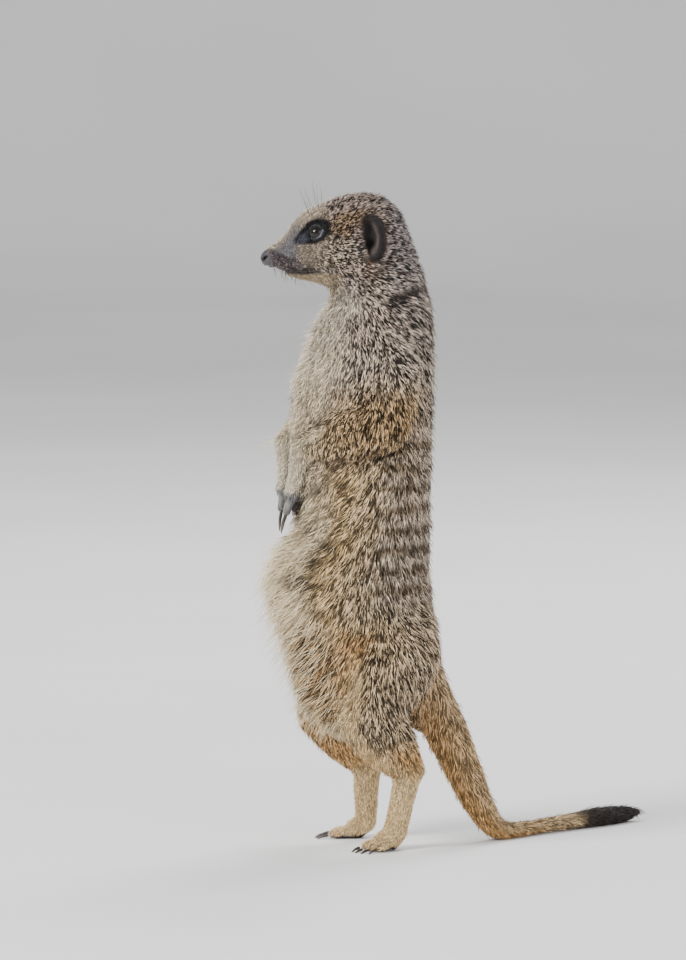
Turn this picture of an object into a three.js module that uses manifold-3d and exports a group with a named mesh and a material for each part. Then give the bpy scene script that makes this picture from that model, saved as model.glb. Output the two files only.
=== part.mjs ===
// A meerkat standing upright on its hind legs, at life size, in millimetres.
// +Z is up. The animal faces -Y, and its left side is +X. Places are given from a point on the floor
// between its feet, and the finished model is shifted at the end, so that the origin is under its middle.
// Every solid runs out to the tips of the coat.

import * as THREE from 'three';
import { mergeVertices } from 'three/addons/utils/BufferGeometryUtils.js';
import Module from 'manifold-3d';

const wasm = await Module();
wasm.setup();

// ---------------------------------------------------------------- driving dimensions

const gap = 0.35; // between parts that meet
const bodyTurn = 15; // degrees that chest and hips turn from the head, to the animal's left
const trim = 0.16; // the most that smoothing away needless corners may move a face
const floorCut = 0.5; // what the floor takes off soles and tail, which leaves small flats

// Trunk and neck, level by level: front and back edge on Y, half width on X,
// egg above 0 where the front is the wider end, turn as a share of bodyTurn
const bodySections = [
  { level: 'crotch', z: 53, front: -24, back: 16, half: 13, egg: 0, turn: 1 },
  { level: 'groin', z: 62, front: -35, back: 28, half: 21, egg: 0, turn: 1 },
  { level: 'lower hips', z: 74, front: -40.5, back: 34, half: 27.5, egg: 0, turn: 1 },
  { level: 'hips', z: 90, front: -44.5, back: 37, half: 32, egg: 0, turn: 1 },
  { level: 'loin', z: 106, front: -48.5, back: 35.5, half: 34.5, egg: 0.03, turn: 1 },
  { level: 'low belly', z: 121, front: -54.5, back: 32.5, half: 35, egg: 0.05, turn: 1 },
  { level: 'belly', z: 136, front: -58, back: 31.2, half: 34.5, egg: 0.06, turn: 1 },
  { level: 'upper belly', z: 150, front: -52, back: 31, half: 33, egg: 0.05, turn: 1 },
  { level: 'waist', z: 163, front: -41, back: 31, half: 31, egg: 0.03, turn: 1 },
  { level: 'last ribs', z: 177, front: -38.5, back: 31, half: 29.5, egg: 0, turn: 1 },
  { level: 'ribs', z: 192, front: -38, back: 31.5, half: 28.5, egg: 0, turn: 1 },
  { level: 'breast', z: 210, front: -42, back: 32.5, half: 27.5, egg: -0.04, turn: 1 },
  { level: 'shoulders', z: 228, front: -43, back: 32.8, half: 26.5, egg: -0.08, turn: 0.9 },
  { level: 'withers', z: 246, front: -37, back: 33, half: 26, egg: -0.1, turn: 0.7 },
  { level: 'neck root', z: 260, front: -33, back: 32.8, half: 24.5, egg: -0.1, turn: 0.5 },
  { level: 'throat', z: 271, front: -25, back: 31.4, half: 23, egg: -0.06, turn: 0.3 },
  { level: 'nape', z: 283, front: -18, back: 28, half: 22, egg: 0, turn: 0.1 },
  { level: 'behind the ears', z: 300, front: -14, back: 22.5, half: 21.5, egg: 0, turn: 0 },
  { level: 'occiput', z: 314, front: -12, back: 16.5, half: 18, egg: 0, turn: 0 },
];
const bodySides = 24;
const bodyRings = 22;

// Head, section by section behind the tip of the nose: top and bottom edge on Z, half width on X,
// the height of the widest point, and how sharp the bridge and the jaw are (1 is round)
const noseTip = -54.5; // on Y
const headSections = [
  { place: 'nose', behind: 2.4, top: 297.4, low: 292, half: 2.6, mid: 294.6, bridge: 1, jaw: 1 },
  { place: 'lip', behind: 4.8, top: 300.6, low: 289.6, half: 5, mid: 294, bridge: 1.15, jaw: 0.9 },
  { place: 'whisker pad', behind: 9.5, top: 304, low: 288.8, half: 7.2, mid: 294, bridge: 1.2, jaw: 0.8 },
  { place: 'chin', behind: 14.5, top: 310.8, low: 286, half: 9.4, mid: 295, bridge: 1.2, jaw: 0.8 },
  { place: 'stop', behind: 19.5, top: 316.6, low: 284.4, half: 12.2, mid: 297, bridge: 1.1, jaw: 0.85 },
  { place: 'eye corner', behind: 24.5, top: 319.6, low: 283.4, half: 15.2, mid: 299, bridge: 0.95, jaw: 0.9 },
  { place: 'eye', behind: 29.5, top: 321.4, low: 281.8, half: 18.2, mid: 299.5, bridge: 0.85, jaw: 0.95 },
  { place: 'cheek', behind: 36, top: 324.2, low: 279.6, half: 21.6, mid: 299, bridge: 0.85, jaw: 0.95 },
  { place: 'temple', behind: 44.5, top: 327.2, low: 278, half: 23.8, mid: 300, bridge: 0.9, jaw: 0.95 },
  { place: 'crown', behind: 53, top: 328.2, low: 278, half: 24.4, mid: 301, bridge: 0.95, jaw: 1 },
  { place: 'behind the ear', behind: 61, top: 326.6, low: 281, half: 23.2, mid: 302, bridge: 1, jaw: 1 },
  { place: 'back of the head', behind: 67.5, top: 321.8, low: 287, half: 19, mid: 304, bridge: 1, jaw: 1 },
  { place: 'occiput', behind: 71.8, top: 315, low: 294, half: 11.5, mid: 305, bridge: 1, jaw: 1 },
];
const headSides = 26;
const headRings = 19;
const faceCrowding = 0.25; // how much closer the rings of the face lie than those behind

// Soft rises and hollows of the face, on both sides: place, how far they spread, and their height
const faceForms = [
  { form: 'brow', at: [13, -29, 316], spread: 5, height: 1.1 },
  { form: 'eye socket', at: [16, -28, 308], spread: 6, height: -1.8 },
  { form: 'hollow before the eye', at: [11, -37, 304], spread: 5, height: -0.8 },
  { form: 'whisker pad', at: [7, -45, 293], spread: 4, height: 0.7 },
  { form: 'cheek bone', at: [21, -19, 299], spread: 8, height: 1 },
];

const eyeRadius = 5.3;
const eyeCentre = [12, -25.6, 308]; // the left eye
const eyeSides = 10;

const nosePadSize = [4.3, 4.4, 4.9]; // half sizes
const nosePadCentre = [0, -50.6, 294.8];
const nostrilSize = [1.3, 1.7, 1.1];
const nostrilCentre = [2.5, -53.8, 293.6]; // the left one
const nosePadSides = 10;
const nostrilSides = 6;

const mouthCorner = [0, -30, 289.5]; // the lower jaw lies in front of it and below

// Ear, a small upright bowl on the side of the head
const earCentre = [22.2, 1.3, 306]; // the left ear
const earHalfHeight = 12;
const earHalfLength = 6.6;
const earLift = 15; // degrees that its back edge stands out from the head
const earCurl = 1.3; // how far the rim turns out at the back and in at the front
const earRim = 3; // the row of the profile that the outside ends at
const earSides = 12;
const earProfile = [
  // share of the outline, then height above the centre plane
  [0.55, -5.2],
  [0.85, -3.2],
  [1, -0.4],
  [0.98, 1.5],
  [0.8, 1.7],
  [0.6, 0.1],
  [0.38, -1.7],
];

// Limbs: joint centres of the left (near) and right (far) side, then half sizes along each length
const arms = {
  left: {
    shoulder: [12, 12, 253],
    upperArm: [22, 12, 234],
    elbow: [26, 9, 211],
    forearm: [27, -11, 208],
    wrist: [14, -33, 199.5],
    knuckles: [10, -37.5, 180],
    fingerTips: [8.5, -41.5, 168],
  },
  right: {
    shoulder: [-17, 3, 253],
    upperArm: [-27, 2, 234],
    elbow: [-30.5, -4.5, 211],
    forearm: [-24.5, -25, 210],
    wrist: [-8.5, -40.5, 202],
    knuckles: [-4.5, -42, 180.5],
    fingerTips: [-4.5, -44, 168.5],
  },
};
const upperArmSizes = [[10, 12], [11.5, 14], [10.5, 12.5]]; // across, then square to that
const forearmSizes = [[10.5, 12.5], [9.5, 12.5], [7.2, 8.6]];
const handSizes = [[6.4, 6.8], [6.8, 5.2], [6.6, 4.2]];
const palmReach = 0.25; // how far the palm runs past the knuckles, as a share of the fingers
const clawReach = 1.85; // and the room that the body leaves for the hand
const fingerRadius = 1.9;
const fingerSpread = 3.3; // from one finger to the next
const armSides = 10;
const pawSides = 8; // of the palm and of the foot
const digitSides = 5; // of fingers, toes and claws

const legs = {
  left: {
    hip: [11, 17, 112],
    thigh: [23.5, 10, 93],
    knee: [28.5, -2.5, 70],
    hock: [20, 19.5, 40],
    ball: [20.5, 12, 7.5],
    heading: 44, // degrees that the toes point outwards
  },
  right: {
    hip: [-14, 8, 112],
    thigh: [-25.5, -6, 93],
    knee: [-29, -23.5, 68],
    hock: [-22.5, -1, 38.5],
    ball: [-22.5, -2.5, 7.5],
    heading: 4,
  },
};
const thighSizes = [[13, 20], [17, 24], [13, 15]];
const shankSizes = [[12.5, 17.5], [11.5, 16], [7.6, 9.2]];
const footSizes = [[6.8, 7.4], [6.2, 6], [7.4, 5.8]];
const instepReach = 6; // from the ball of the foot to where the toes begin
const instepRise = 1.8; // of the instep above the toes
const toeRadius = 2.6;
const toeLength = 10.5;
const toeSpread = 4;
const thighSides = 12;
const shankSides = 10;

const clawCount = 4; // on every hand and foot
const outerDigit = 0.82; // the outer two digits are shorter
const rootSpread = 0.8; // digits lie closer at the root than at the tip
const digitArch = 0.4; // how far the middle of a digit stands up
const handClaw = { length: 8, radius: 1, hook: 0.8 };
const footClaw = { length: 6, radius: 0.95, hook: 1.2 };

// Tail: down from the rump, a bend on the floor, then along it and away to the right
const tailStart = [-3, 22, 88];
const tailDrop = [-6, 40, 53];
const tailBend = [-8, 58, 14];
const tailFloor = 5.2; // height of the middle line where it lies
const tailTouch = 12; // from the bend to where it lies flat
const tailHeading = 46; // degrees from +Y towards -X
const tailLying = 98; // length on the floor
const tailSizes = [14.5, 12.4, 10.9, 9, 6.8, 5.1, 4.3, 4.5, 5.6, 3.8];
const tailSides = 10;
const tailRings = 18;
const tailPartings = [0.36, 0.68]; // shares of its length

// Where head, neck, chest and belly part: height at Y = 0 and rise for each millimetre of Y
const headLevel = { height: 280.3, rise: 0.09 };
const neckLevel = { height: 259.5, rise: 0.12 };
const bellyLevel = { height: 158, rise: 0.05 };

const finishes = {
  coat: { color: 0x9c8a72, roughness: 0.9, metalness: 0 },
  dark: { color: 0x3a3230, roughness: 0.85, metalness: 0 },
  paleCoat: { color: 0xcbb898, roughness: 0.9, metalness: 0 },
  eye: { color: 0x1d1512, roughness: 0.08, metalness: 0 },
  nose: { color: 0x2c2a2c, roughness: 0.4, metalness: 0 },
  claw: { color: 0x3b2f28, roughness: 0.45, metalness: 0 },
};

// ---------------------------------------------------------------- lofts and solids

const radians = THREE.MathUtils.degToRad;
const mirror = ([x, y, z], side) => [x * side, y, z];
const vector = (values) => new THREE.Vector3(...values);

// One named size at a place along a list of sections, on a smooth curve through them
function sizeAt(sections, key, place, name) {
  const last = sections.length - 1;
  let i = 0;
  while (i < last - 1 && place > sections[i + 1][key]) i++;
  const slope = (j) => {
    const before = sections[Math.max(j - 1, 0)];
    const after = sections[Math.min(j + 1, last)];
    return (after[name] - before[name]) / (after[key] - before[key]);
  };
  const [from, to] = [sections[i], sections[i + 1]];
  const step = to[key] - from[key];
  const t = THREE.MathUtils.clamp((place - from[key]) / step, 0, 1);
  const blend = t * t * (3 - 2 * t);
  const bend = step * t * (1 - t);
  return from[name] + (to[name] - from[name]) * blend
    + bend * ((1 - t) * slope(i) - t * slope(i + 1));
}

// Half sizes across and fore and aft, from a short list spread evenly along a limb
function spread(pairs) {
  const sections = pairs.map(([wide, deep], i) => ({ t: i / (pairs.length - 1), wide, deep }));
  return (t) => [sizeAt(sections, 't', t, 'wide'), sizeAt(sections, 't', t, 'deep')];
}

// A solid from points and triangles, turned so that its faces point out
function solid(points, index) {
  let volume = 0;
  for (let i = 0; i < index.length; i += 3) {
    const [a, b, c] = [points[index[i]], points[index[i + 1]], points[index[i + 2]]];
    volume += a.dot(b.clone().cross(c));
  }
  if (volume < 0) index.reverse();
  const geometry = new THREE.BufferGeometry().setFromPoints(points);
  geometry.setIndex(index);
  const merged = mergeVertices(geometry, 1e-4);
  return new wasm.Manifold(new wasm.Mesh({
    numProp: 3,
    vertProperties: new Float32Array(merged.attributes.position.array),
    triVerts: new Uint32Array(merged.index.array),
  }));
}

// A closed solid through rings of equally many points, with a pole at each end
function loft(rings, startPole, endPole) {
  const count = rings[0].length;
  const points = [startPole, ...rings.flat(), endPole];
  const at = (ring, side) => 1 + ring * count + (side % count);
  const index = [];
  for (let side = 0; side < count; side++) {
    index.push(0, at(0, side + 1), at(0, side));
    for (let ring = 0; ring < rings.length - 1; ring++) {
      const [a, b] = [at(ring, side), at(ring, side + 1)];
      const [c, d] = [at(ring + 1, side), at(ring + 1, side + 1)];
      index.push(a, b, d, a, d, c);
    }
    index.push(at(rings.length - 1, side), at(rings.length - 1, side + 1), points.length - 1);
  }
  return solid(points, index);
}

// A ring of points from a function of the angle
function ringOf(count, pointAt) {
  return Array.from({ length: count }, (_, i) => pointAt((2 * Math.PI * i) / count));
}

function ellipsoid(centre, size, sides, grow = 0) {
  const middle = vector(centre);
  const half = size.map((value) => value + grow);
  const rings = [];
  for (let ring = 1; ring < sides / 2; ring++) {
    const tilt = (2 * Math.PI * ring) / sides;
    rings.push(ringOf(sides, (turn) => new THREE.Vector3(
      half[0] * Math.cos(tilt),
      half[1] * Math.sin(tilt) * Math.cos(turn),
      half[2] * Math.sin(tilt) * Math.sin(turn),
    ).add(middle)));
  }
  const pole = (sign) => new THREE.Vector3(sign * half[0], 0, 0).add(middle);
  return loft(rings, pole(1), pole(-1));
}

// A limb: elliptical sections square to a smooth path. across is the direction of their first
// half size, and each end is rounded over a reach of cap times its thinner half size.
function limb(path, sizes, across, { sides, rings, grow = 0, capAngles = [45], caps = [1, 1] }) {
  const ringAt = (t, share, offset) => {
    const along = path.getTangentAt(t);
    const centre = path.getPointAt(t).addScaledVector(along, offset);
    const side = across.clone().addScaledVector(along, -across.dot(along)).normalize();
    const front = along.clone().cross(side);
    const [wide, deep] = sizes(t).map((value) => (value + grow) * share);
    return ringOf(sides, (turn) => centre.clone().addScaledVector(side, wide * Math.cos(turn))
      .addScaledVector(front, deep * Math.sin(turn)));
  };
  const capReach = (t) => Math.min(...sizes(t)) * caps[t] + grow;
  const capRing = (t, angle, sign) => (
    ringAt(t, Math.cos(radians(angle)), sign * capReach(t) * Math.sin(radians(angle))));
  const pole = (t, sign) => path.getPointAt(t)
    .addScaledVector(path.getTangentAt(t), sign * capReach(t));
  const list = [...capAngles].reverse().map((angle) => capRing(0, angle, -1));
  for (let ring = 0; ring <= rings; ring++) list.push(ringAt(ring / rings, 1, 0));
  list.push(...capAngles.map((angle) => capRing(1, angle, 1)));
  return loft(list, pole(0, -1), pole(1, 1));
}

function curve(...points) {
  return new THREE.CatmullRomCurve3(points.map(vector), false, 'centripetal');
}

// A block that covers all that lies beyond a plane, for parting and for the floor
function beyond(point, normal, shift = 0) {
  const reach = 400;
  const up = new THREE.Vector3(0, 0, 1);
  const geometry = new THREE.BoxGeometry(2 * reach, 2 * reach, reach);
  geometry.translate(0, 0, reach / 2 + shift);
  geometry.applyQuaternion(new THREE.Quaternion().setFromUnitVectors(up, normal));
  geometry.translate(point.x, point.y, point.z);
  const { position } = geometry.attributes;
  const corners = Array.from({ length: position.count }, (_, i) => (
    new THREE.Vector3().fromBufferAttribute(position, i)));
  return solid(corners, [...geometry.index.array]);
}

// A level given by its height at Y = 0 and its rise for each millimetre of Y
const levelCut = ({ height, rise }) => ({
  point: new THREE.Vector3(0, 0, height),
  onward: new THREE.Vector3(0, -rise, 1).normalize(),
});

// A body divided into lengths by thin cuts. Each cut is a point and the way on to the next length.
function part(body, cuts) {
  const pieces = [];
  let rest = body;
  for (const { point, onward } of cuts) {
    pieces.push(rest.subtract(beyond(point, onward, -gap / 2)));
    rest = rest.intersect(beyond(point, onward, gap / 2));
  }
  return [...pieces, rest];
}

// A cut square to the way from the joint before to the joint after
const jointCut = (before, joint, after) => ({
  point: vector(joint),
  onward: vector(after).sub(vector(before)).normalize(),
});

const floorBlock = beyond(new THREE.Vector3(0, 0, floorCut), new THREE.Vector3(0, 0, 1));
const onFloor = (body) => body.intersect(floorBlock);
const union = (list) => list.reduce((sum, item) => sum.add(item));
const carve = (body, rooms) => rooms.reduce((rest, room) => rest.subtract(room), body);

// ---------------------------------------------------------------- trunk, neck and head

function bodySolid(grow = 0) {
  const first = bodySections[0].z;
  const last = bodySections[bodySections.length - 1].z;
  const middleAt = (z) => (
    (sizeAt(bodySections, 'z', z, 'front') + sizeAt(bodySections, 'z', z, 'back')) / 2);
  const rings = [];
  for (let ring = 0; ring <= bodyRings; ring++) {
    const z = first + ((last - first) * ring) / bodyRings;
    const size = (name) => sizeAt(bodySections, 'z', z, name);
    const reach = (size('back') - size('front')) / 2 + grow;
    const half = size('half') + grow;
    const turn = radians(bodyTurn) * size('turn');
    rings.push(ringOf(bodySides, (angle) => {
      const x = half * Math.sin(angle) * (1 + size('egg') * Math.cos(angle));
      const y = -reach * Math.cos(angle);
      return new THREE.Vector3(x * Math.cos(turn) - y * Math.sin(turn),
        middleAt(z) + x * Math.sin(turn) + y * Math.cos(turn), z);
    }));
  }
  const pole = (z, offset) => new THREE.Vector3(0, middleAt(z), z + offset);
  return loft(rings, pole(first, -4 - grow), pole(last, 2 + grow));
}

function headSolid() {
  const first = headSections[0].behind;
  const last = headSections[headSections.length - 1].behind;
  const forms = faceForms.flatMap((form) => [1, -1].map((side) => (
    { ...form, centre: vector(mirror(form.at, side)) })));
  const rings = [];
  for (let ring = 0; ring <= headRings; ring++) {
    const share = ring / headRings;
    const behind = first + (last - first) * share * (1 - faceCrowding * (1 - share));
    const size = (name) => sizeAt(headSections, 'behind', behind, name);
    const core = new THREE.Vector3(0, noseTip + behind, size('mid'));
    rings.push(ringOf(headSides, (angle) => {
      const [across, up] = [Math.sin(angle), Math.cos(angle)];
      const sharp = up > 0 ? size('bridge') : size('jaw');
      const rise = up > 0 ? size('top') - core.z : core.z - size('low');
      const x = size('half') * Math.sign(across) * Math.abs(across) ** sharp;
      const point = new THREE.Vector3(x, core.y, core.z + rise * up);
      const out = point.clone().sub(core).normalize();
      for (const { centre, spread: reach, height } of forms) {
        const near = Math.exp(-point.distanceToSquared(centre) / (reach * reach));
        point.addScaledVector(out, height * near);
      }
      return point;
    }));
  }
  const pole = (behind, z) => new THREE.Vector3(0, noseTip + behind, z);
  return loft(rings, pole(first - 0.8, 295), pole(last + 1.5, 305));
}

const eyeball = (side, grow = 0) => (
  ellipsoid(mirror(eyeCentre, side), Array(3).fill(eyeRadius), eyeSides, grow));

// ---------------------------------------------------------------- ears

// side is 1 for the left ear and -1 for the right; whole leaves the bowl filled
function earSolid(side, whole = false, grow = 0) {
  const lift = radians(earLift);
  const out = new THREE.Vector3(Math.cos(lift), -Math.sin(lift), 0);
  const back = new THREE.Vector3(Math.sin(lift), Math.cos(lift), 0);
  const place = (share, height, angle) => {
    const curl = height > -1 ? earCurl * Math.cos(angle) : 0;
    const point = vector(earCentre)
      .addScaledVector(out, height + curl)
      .addScaledVector(back, earHalfLength * share * Math.cos(angle));
    point.z += earHalfHeight * share * Math.sin(angle);
    point.x *= side;
    return point;
  };
  const profile = whole ? earProfile.slice(0, earRim + 1) : earProfile;
  const rings = profile.map(([share, height], i) => ringOf(earSides, (angle) => (
    place(share + grow / earHalfLength, height + (i < earRim ? -grow : grow), angle))));
  const [lowest, highest] = [profile[0][1] - 1, profile[profile.length - 1][1]];
  return loft(rings, place(0, lowest - grow, 0), place(0, whole ? highest + 1 : highest - 0.6, 0));
}

// ---------------------------------------------------------------- limbs

const sideways = new THREE.Vector3(1, 0, 0);

// An arm down to the palm, or with handReach above 1 down to the claws
function armSolid(joints, grow = 0, handReach = palmReach) {
  const { shoulder, upperArm, elbow, forearm, wrist, knuckles, fingerTips } = joints;
  const palmEnd = vector(knuckles).lerp(vector(fingerTips), handReach);
  return union([
    limb(curve(shoulder, upperArm, elbow), spread(upperArmSizes), sideways,
      { sides: armSides, rings: 4, grow }),
    limb(curve(elbow, forearm, wrist), spread(forearmSizes), sideways,
      { sides: armSides, rings: 4, grow }),
    limb(curve(wrist, knuckles, palmEnd), spread(handSizes), sideways,
      { sides: pawSides, rings: 3, grow, capAngles: [], caps: [0.8, 0.3] }),
  ]);
}

// The way that a foot points, the way across it, and where its toes begin
function footFrame({ hip, ball, heading }) {
  const turn = radians(heading) * Math.sign(hip[0]);
  const facing = new THREE.Vector3(Math.sin(turn), -Math.cos(turn), 0);
  const across = new THREE.Vector3(-facing.y, facing.x, 0);
  const instep = vector(ball).addScaledVector(facing, instepReach).setZ(toeRadius + instepRise);
  return { facing, across, instep };
}

// A leg down to the instep
function legSolid(joints) {
  const { hip, thigh, knee, hock, ball } = joints;
  const { across, instep } = footFrame(joints);
  const middle = vector(ball).lerp(vector(hock), 0.5);
  const footPath = new THREE.CatmullRomCurve3([vector(hock), middle, vector(ball), instep],
    false, 'centripetal');
  return union([
    limb(curve(hip, thigh, knee), spread(thighSizes), sideways, { sides: thighSides, rings: 5 }),
    limb(curve(knee, hock), spread(shankSizes), sideways, { sides: shankSides, rings: 3 }),
    limb(footPath, spread(footSizes), across,
      { sides: pawSides, rings: 5, capAngles: [], caps: [0.8, 0.5] }),
  ]);
}

// A row of digits from root to tip, each a short rod, and the claw at the end of each.
// row is the step from one to the next, and hook the way that the claws bend.
function digits({ root, tip, row, hook, radius, claw }) {
  const across = row.clone().normalize();
  const along = tip.clone().sub(root).normalize();
  const taper = (t) => [claw.radius * (1 - 0.6 * t), claw.radius * (1.15 - 0.75 * t)];
  return Array.from({ length: clawCount }, (_, i) => {
    const place = i - (clawCount - 1) / 2;
    const reach = Math.abs(place) > 1 ? outerDigit : 1;
    const start = root.clone().addScaledVector(row, place * rootSpread);
    const end = root.clone().lerp(tip, reach).addScaledVector(row, place);
    const middle = start.clone().lerp(end, 0.5).addScaledVector(hook, -digitArch);
    const clawStart = end.clone().addScaledVector(along, radius + gap + claw.radius / 2);
    const clawMiddle = clawStart.clone().addScaledVector(along, claw.length * 0.5);
    const clawEnd = clawStart.clone().addScaledVector(along, claw.length)
      .addScaledVector(hook, claw.hook);
    const clawPath = new THREE.CatmullRomCurve3([clawStart, clawMiddle, clawEnd]);
    return {
      digit: limb(new THREE.CatmullRomCurve3([start, middle, end]), () => [radius, radius], across,
        { sides: digitSides, rings: 2, capAngles: [], caps: [0.6, 0.9] }),
      claw: limb(clawPath, taper, across,
        { sides: digitSides, rings: 2, capAngles: [], caps: [0.5, 0.8] }),
    };
  });
}

const fingers = ({ knuckles, fingerTips }) => digits({
  root: vector(knuckles),
  tip: vector(fingerTips),
  row: new THREE.Vector3(fingerSpread, 0, 0),
  hook: new THREE.Vector3(0, 1, 0),
  radius: fingerRadius,
  claw: handClaw,
});

function toes(joints) {
  const { facing, across, instep } = footFrame(joints);
  return digits({
    root: instep,
    tip: instep.clone().addScaledVector(facing, toeLength).setZ(toeRadius),
    row: across.clone().multiplyScalar(toeSpread),
    hook: new THREE.Vector3(0, 0, -1),
    radius: toeRadius,
    claw: footClaw,
  });
}

// ---------------------------------------------------------------- tail

function tailPath() {
  const away = new THREE.Vector3(-Math.sin(radians(tailHeading)), Math.cos(radians(tailHeading)), 0);
  const touch = vector(tailBend).addScaledVector(away, tailTouch).setZ(tailFloor);
  const lying = [0, 0.3, 0.65, 1].map((share) => touch.clone().addScaledVector(away, share * tailLying));
  const drop = [tailStart, tailDrop, tailBend].map(vector);
  return new THREE.CatmullRomCurve3([...drop, ...lying], false, 'centripetal');
}

function tailSolid(path) {
  const sections = tailSizes.map((radius, i) => ({ t: i / (tailSizes.length - 1), radius }));
  const round = (t) => Array(2).fill(sizeAt(sections, 't', t, 'radius'));
  const across = new THREE.Vector3(1, 1, 0).normalize();
  return limb(path, round, across, { sides: tailSides, rings: tailRings, caps: [0.6, 1.6] });
}

// ---------------------------------------------------------------- the parts and their nodes

const model = new THREE.Group();

function addPart(name, body, finish) {
  // Crumbs that a cut left are dropped
  const [main] = body.decompose().sort((a, b) => b.volume() - a.volume());
  const mesh = main.simplify(trim).getMesh();
  const geometry = new THREE.BufferGeometry();
  geometry.setAttribute('position', new THREE.BufferAttribute(mesh.vertProperties, 3));
  geometry.setIndex(new THREE.BufferAttribute(mesh.triVerts, 1));
  const part = new THREE.Mesh(geometry, new THREE.MeshStandardMaterial(finishes[finish]));
  part.name = name;
  model.add(part);
}

const sides = { left: 1, right: -1 };
const trunkRoom = bodySolid(gap); // what upper arms, legs and tail give way to
const bodyRooms = []; // and what the trunk gives way to

for (const sideName of Object.keys(sides)) {
  const joints = arms[sideName];
  const row = fingers(joints);
  const arm = union([armSolid(joints), ...row.map(({ digit }) => digit)]);
  const elbowCut = jointCut(joints.shoulder, joints.elbow, joints.wrist);
  const wristCut = jointCut(joints.forearm, joints.wrist, joints.knuckles);
  const [upper, lower, hand] = part(arm, [elbowCut, wristCut]);
  addPart(`upper_arm_${sideName}`, upper.subtract(trunkRoom), 'coat');
  addPart(`forearm_${sideName}`, lower, 'coat');
  addPart(`hand_${sideName}`, hand, 'dark');
  row.forEach(({ claw }, i) => addPart(`hand_claw_${sideName}_${i + 1}`, claw, 'claw'));
  const belowElbow = beyond(elbowCut.point, elbowCut.onward, -gap);
  bodyRooms.push(armSolid(joints, gap, clawReach).intersect(belowElbow));
}

for (const sideName of Object.keys(sides)) {
  const joints = legs[sideName];
  const row = toes(joints);
  const leg = onFloor(union([legSolid(joints), ...row.map(({ digit }) => digit)]));
  const [upper, lower, foot] = part(leg.subtract(trunkRoom), [
    jointCut(joints.hip, joints.knee, joints.hock),
    jointCut(joints.knee, joints.hock, joints.ball),
  ]);
  addPart(`thigh_${sideName}`, upper, 'coat');
  addPart(`shank_${sideName}`, lower, 'coat');
  addPart(`foot_${sideName}`, foot, 'paleCoat');
  row.forEach(({ claw }, i) => addPart(`foot_claw_${sideName}_${i + 1}`, onFloor(claw), 'claw'));
}

// The tail, parted square to its own path
const path = tailPath();
const tailCuts = tailPartings.map((share) => (
  { point: path.getPointAt(share), onward: path.getTangentAt(share) }));
const tailLengths = part(onFloor(tailSolid(path)).subtract(trunkRoom), tailCuts);
addPart('tail_base', tailLengths[0], 'coat');
addPart('tail_middle', tailLengths[1], 'coat');
addPart('tail_tip', tailLengths[2], 'dark');

// Head, neck and trunk, modelled whole and parted upwards
const whole = carve(bodySolid().add(headSolid()), bodyRooms);
const [belly, chest, neck, headWhole] = part(whole, [bellyLevel, neckLevel, headLevel].map(levelCut));
const faceRooms = Object.values(sides).flatMap((side) => [
  eyeball(side, gap),
  earSolid(side, true, gap),
]);
faceRooms.push(ellipsoid(nosePadCentre, nosePadSize, nosePadSides, gap));
const head = carve(headWhole, faceRooms);
const mouth = (shift) => beyond(vector(mouthCorner), new THREE.Vector3(0, -1, 0), shift)
  .intersect(beyond(vector(mouthCorner), new THREE.Vector3(0, 0, -1), shift));
addPart('head', head.subtract(mouth(-gap / 2)), 'coat');
addPart('lower_jaw', head.intersect(mouth(gap / 2)), 'paleCoat');
addPart('neck', neck, 'coat');
addPart('chest', chest, 'coat');
addPart('belly', belly, 'coat');

for (const [sideName, side] of Object.entries(sides)) {
  addPart(`eye_${sideName}`, eyeball(side), 'eye');
  addPart(`ear_${sideName}`, earSolid(side), 'dark');
}
const nostrils = Object.values(sides).map((side) => (
  ellipsoid(mirror(nostrilCentre, side), nostrilSize, nostrilSides)));
addPart('nose_pad', carve(ellipsoid(nosePadCentre, nosePadSize, nosePadSides), nostrils), 'nose');

// The origin goes on the floor, under the middle of the model's box
const box = new THREE.Box3().setFromObject(model);
const middle = box.getCenter(new THREE.Vector3());
model.position.set(-middle.x, -middle.y, -box.min.z);

export default model;
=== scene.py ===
import heapq
import math

import bmesh
import bpy
import numpy as np
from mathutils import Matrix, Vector
from mathutils.bvhtree import BVHTree
from mathutils.kdtree import KDTree


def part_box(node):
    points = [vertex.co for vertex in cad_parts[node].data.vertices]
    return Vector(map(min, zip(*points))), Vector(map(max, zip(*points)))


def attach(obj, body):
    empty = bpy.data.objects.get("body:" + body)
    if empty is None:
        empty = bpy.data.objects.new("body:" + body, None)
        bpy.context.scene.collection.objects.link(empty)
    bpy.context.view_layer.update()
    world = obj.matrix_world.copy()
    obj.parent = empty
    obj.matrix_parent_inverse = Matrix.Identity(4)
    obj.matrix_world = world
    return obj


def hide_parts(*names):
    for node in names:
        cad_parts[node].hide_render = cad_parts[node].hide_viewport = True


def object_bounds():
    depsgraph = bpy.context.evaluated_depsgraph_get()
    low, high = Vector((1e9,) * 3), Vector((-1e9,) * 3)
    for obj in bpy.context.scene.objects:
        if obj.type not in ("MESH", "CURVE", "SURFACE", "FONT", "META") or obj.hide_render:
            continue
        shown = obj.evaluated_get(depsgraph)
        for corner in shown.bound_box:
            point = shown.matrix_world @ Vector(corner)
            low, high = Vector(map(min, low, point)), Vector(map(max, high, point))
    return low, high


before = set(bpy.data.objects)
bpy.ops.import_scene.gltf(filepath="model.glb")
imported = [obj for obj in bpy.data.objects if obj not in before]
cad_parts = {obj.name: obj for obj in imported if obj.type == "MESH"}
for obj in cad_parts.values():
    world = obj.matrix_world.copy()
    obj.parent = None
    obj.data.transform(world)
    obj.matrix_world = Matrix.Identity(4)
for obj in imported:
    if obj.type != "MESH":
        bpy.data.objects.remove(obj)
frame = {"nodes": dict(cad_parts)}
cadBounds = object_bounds()

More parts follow.
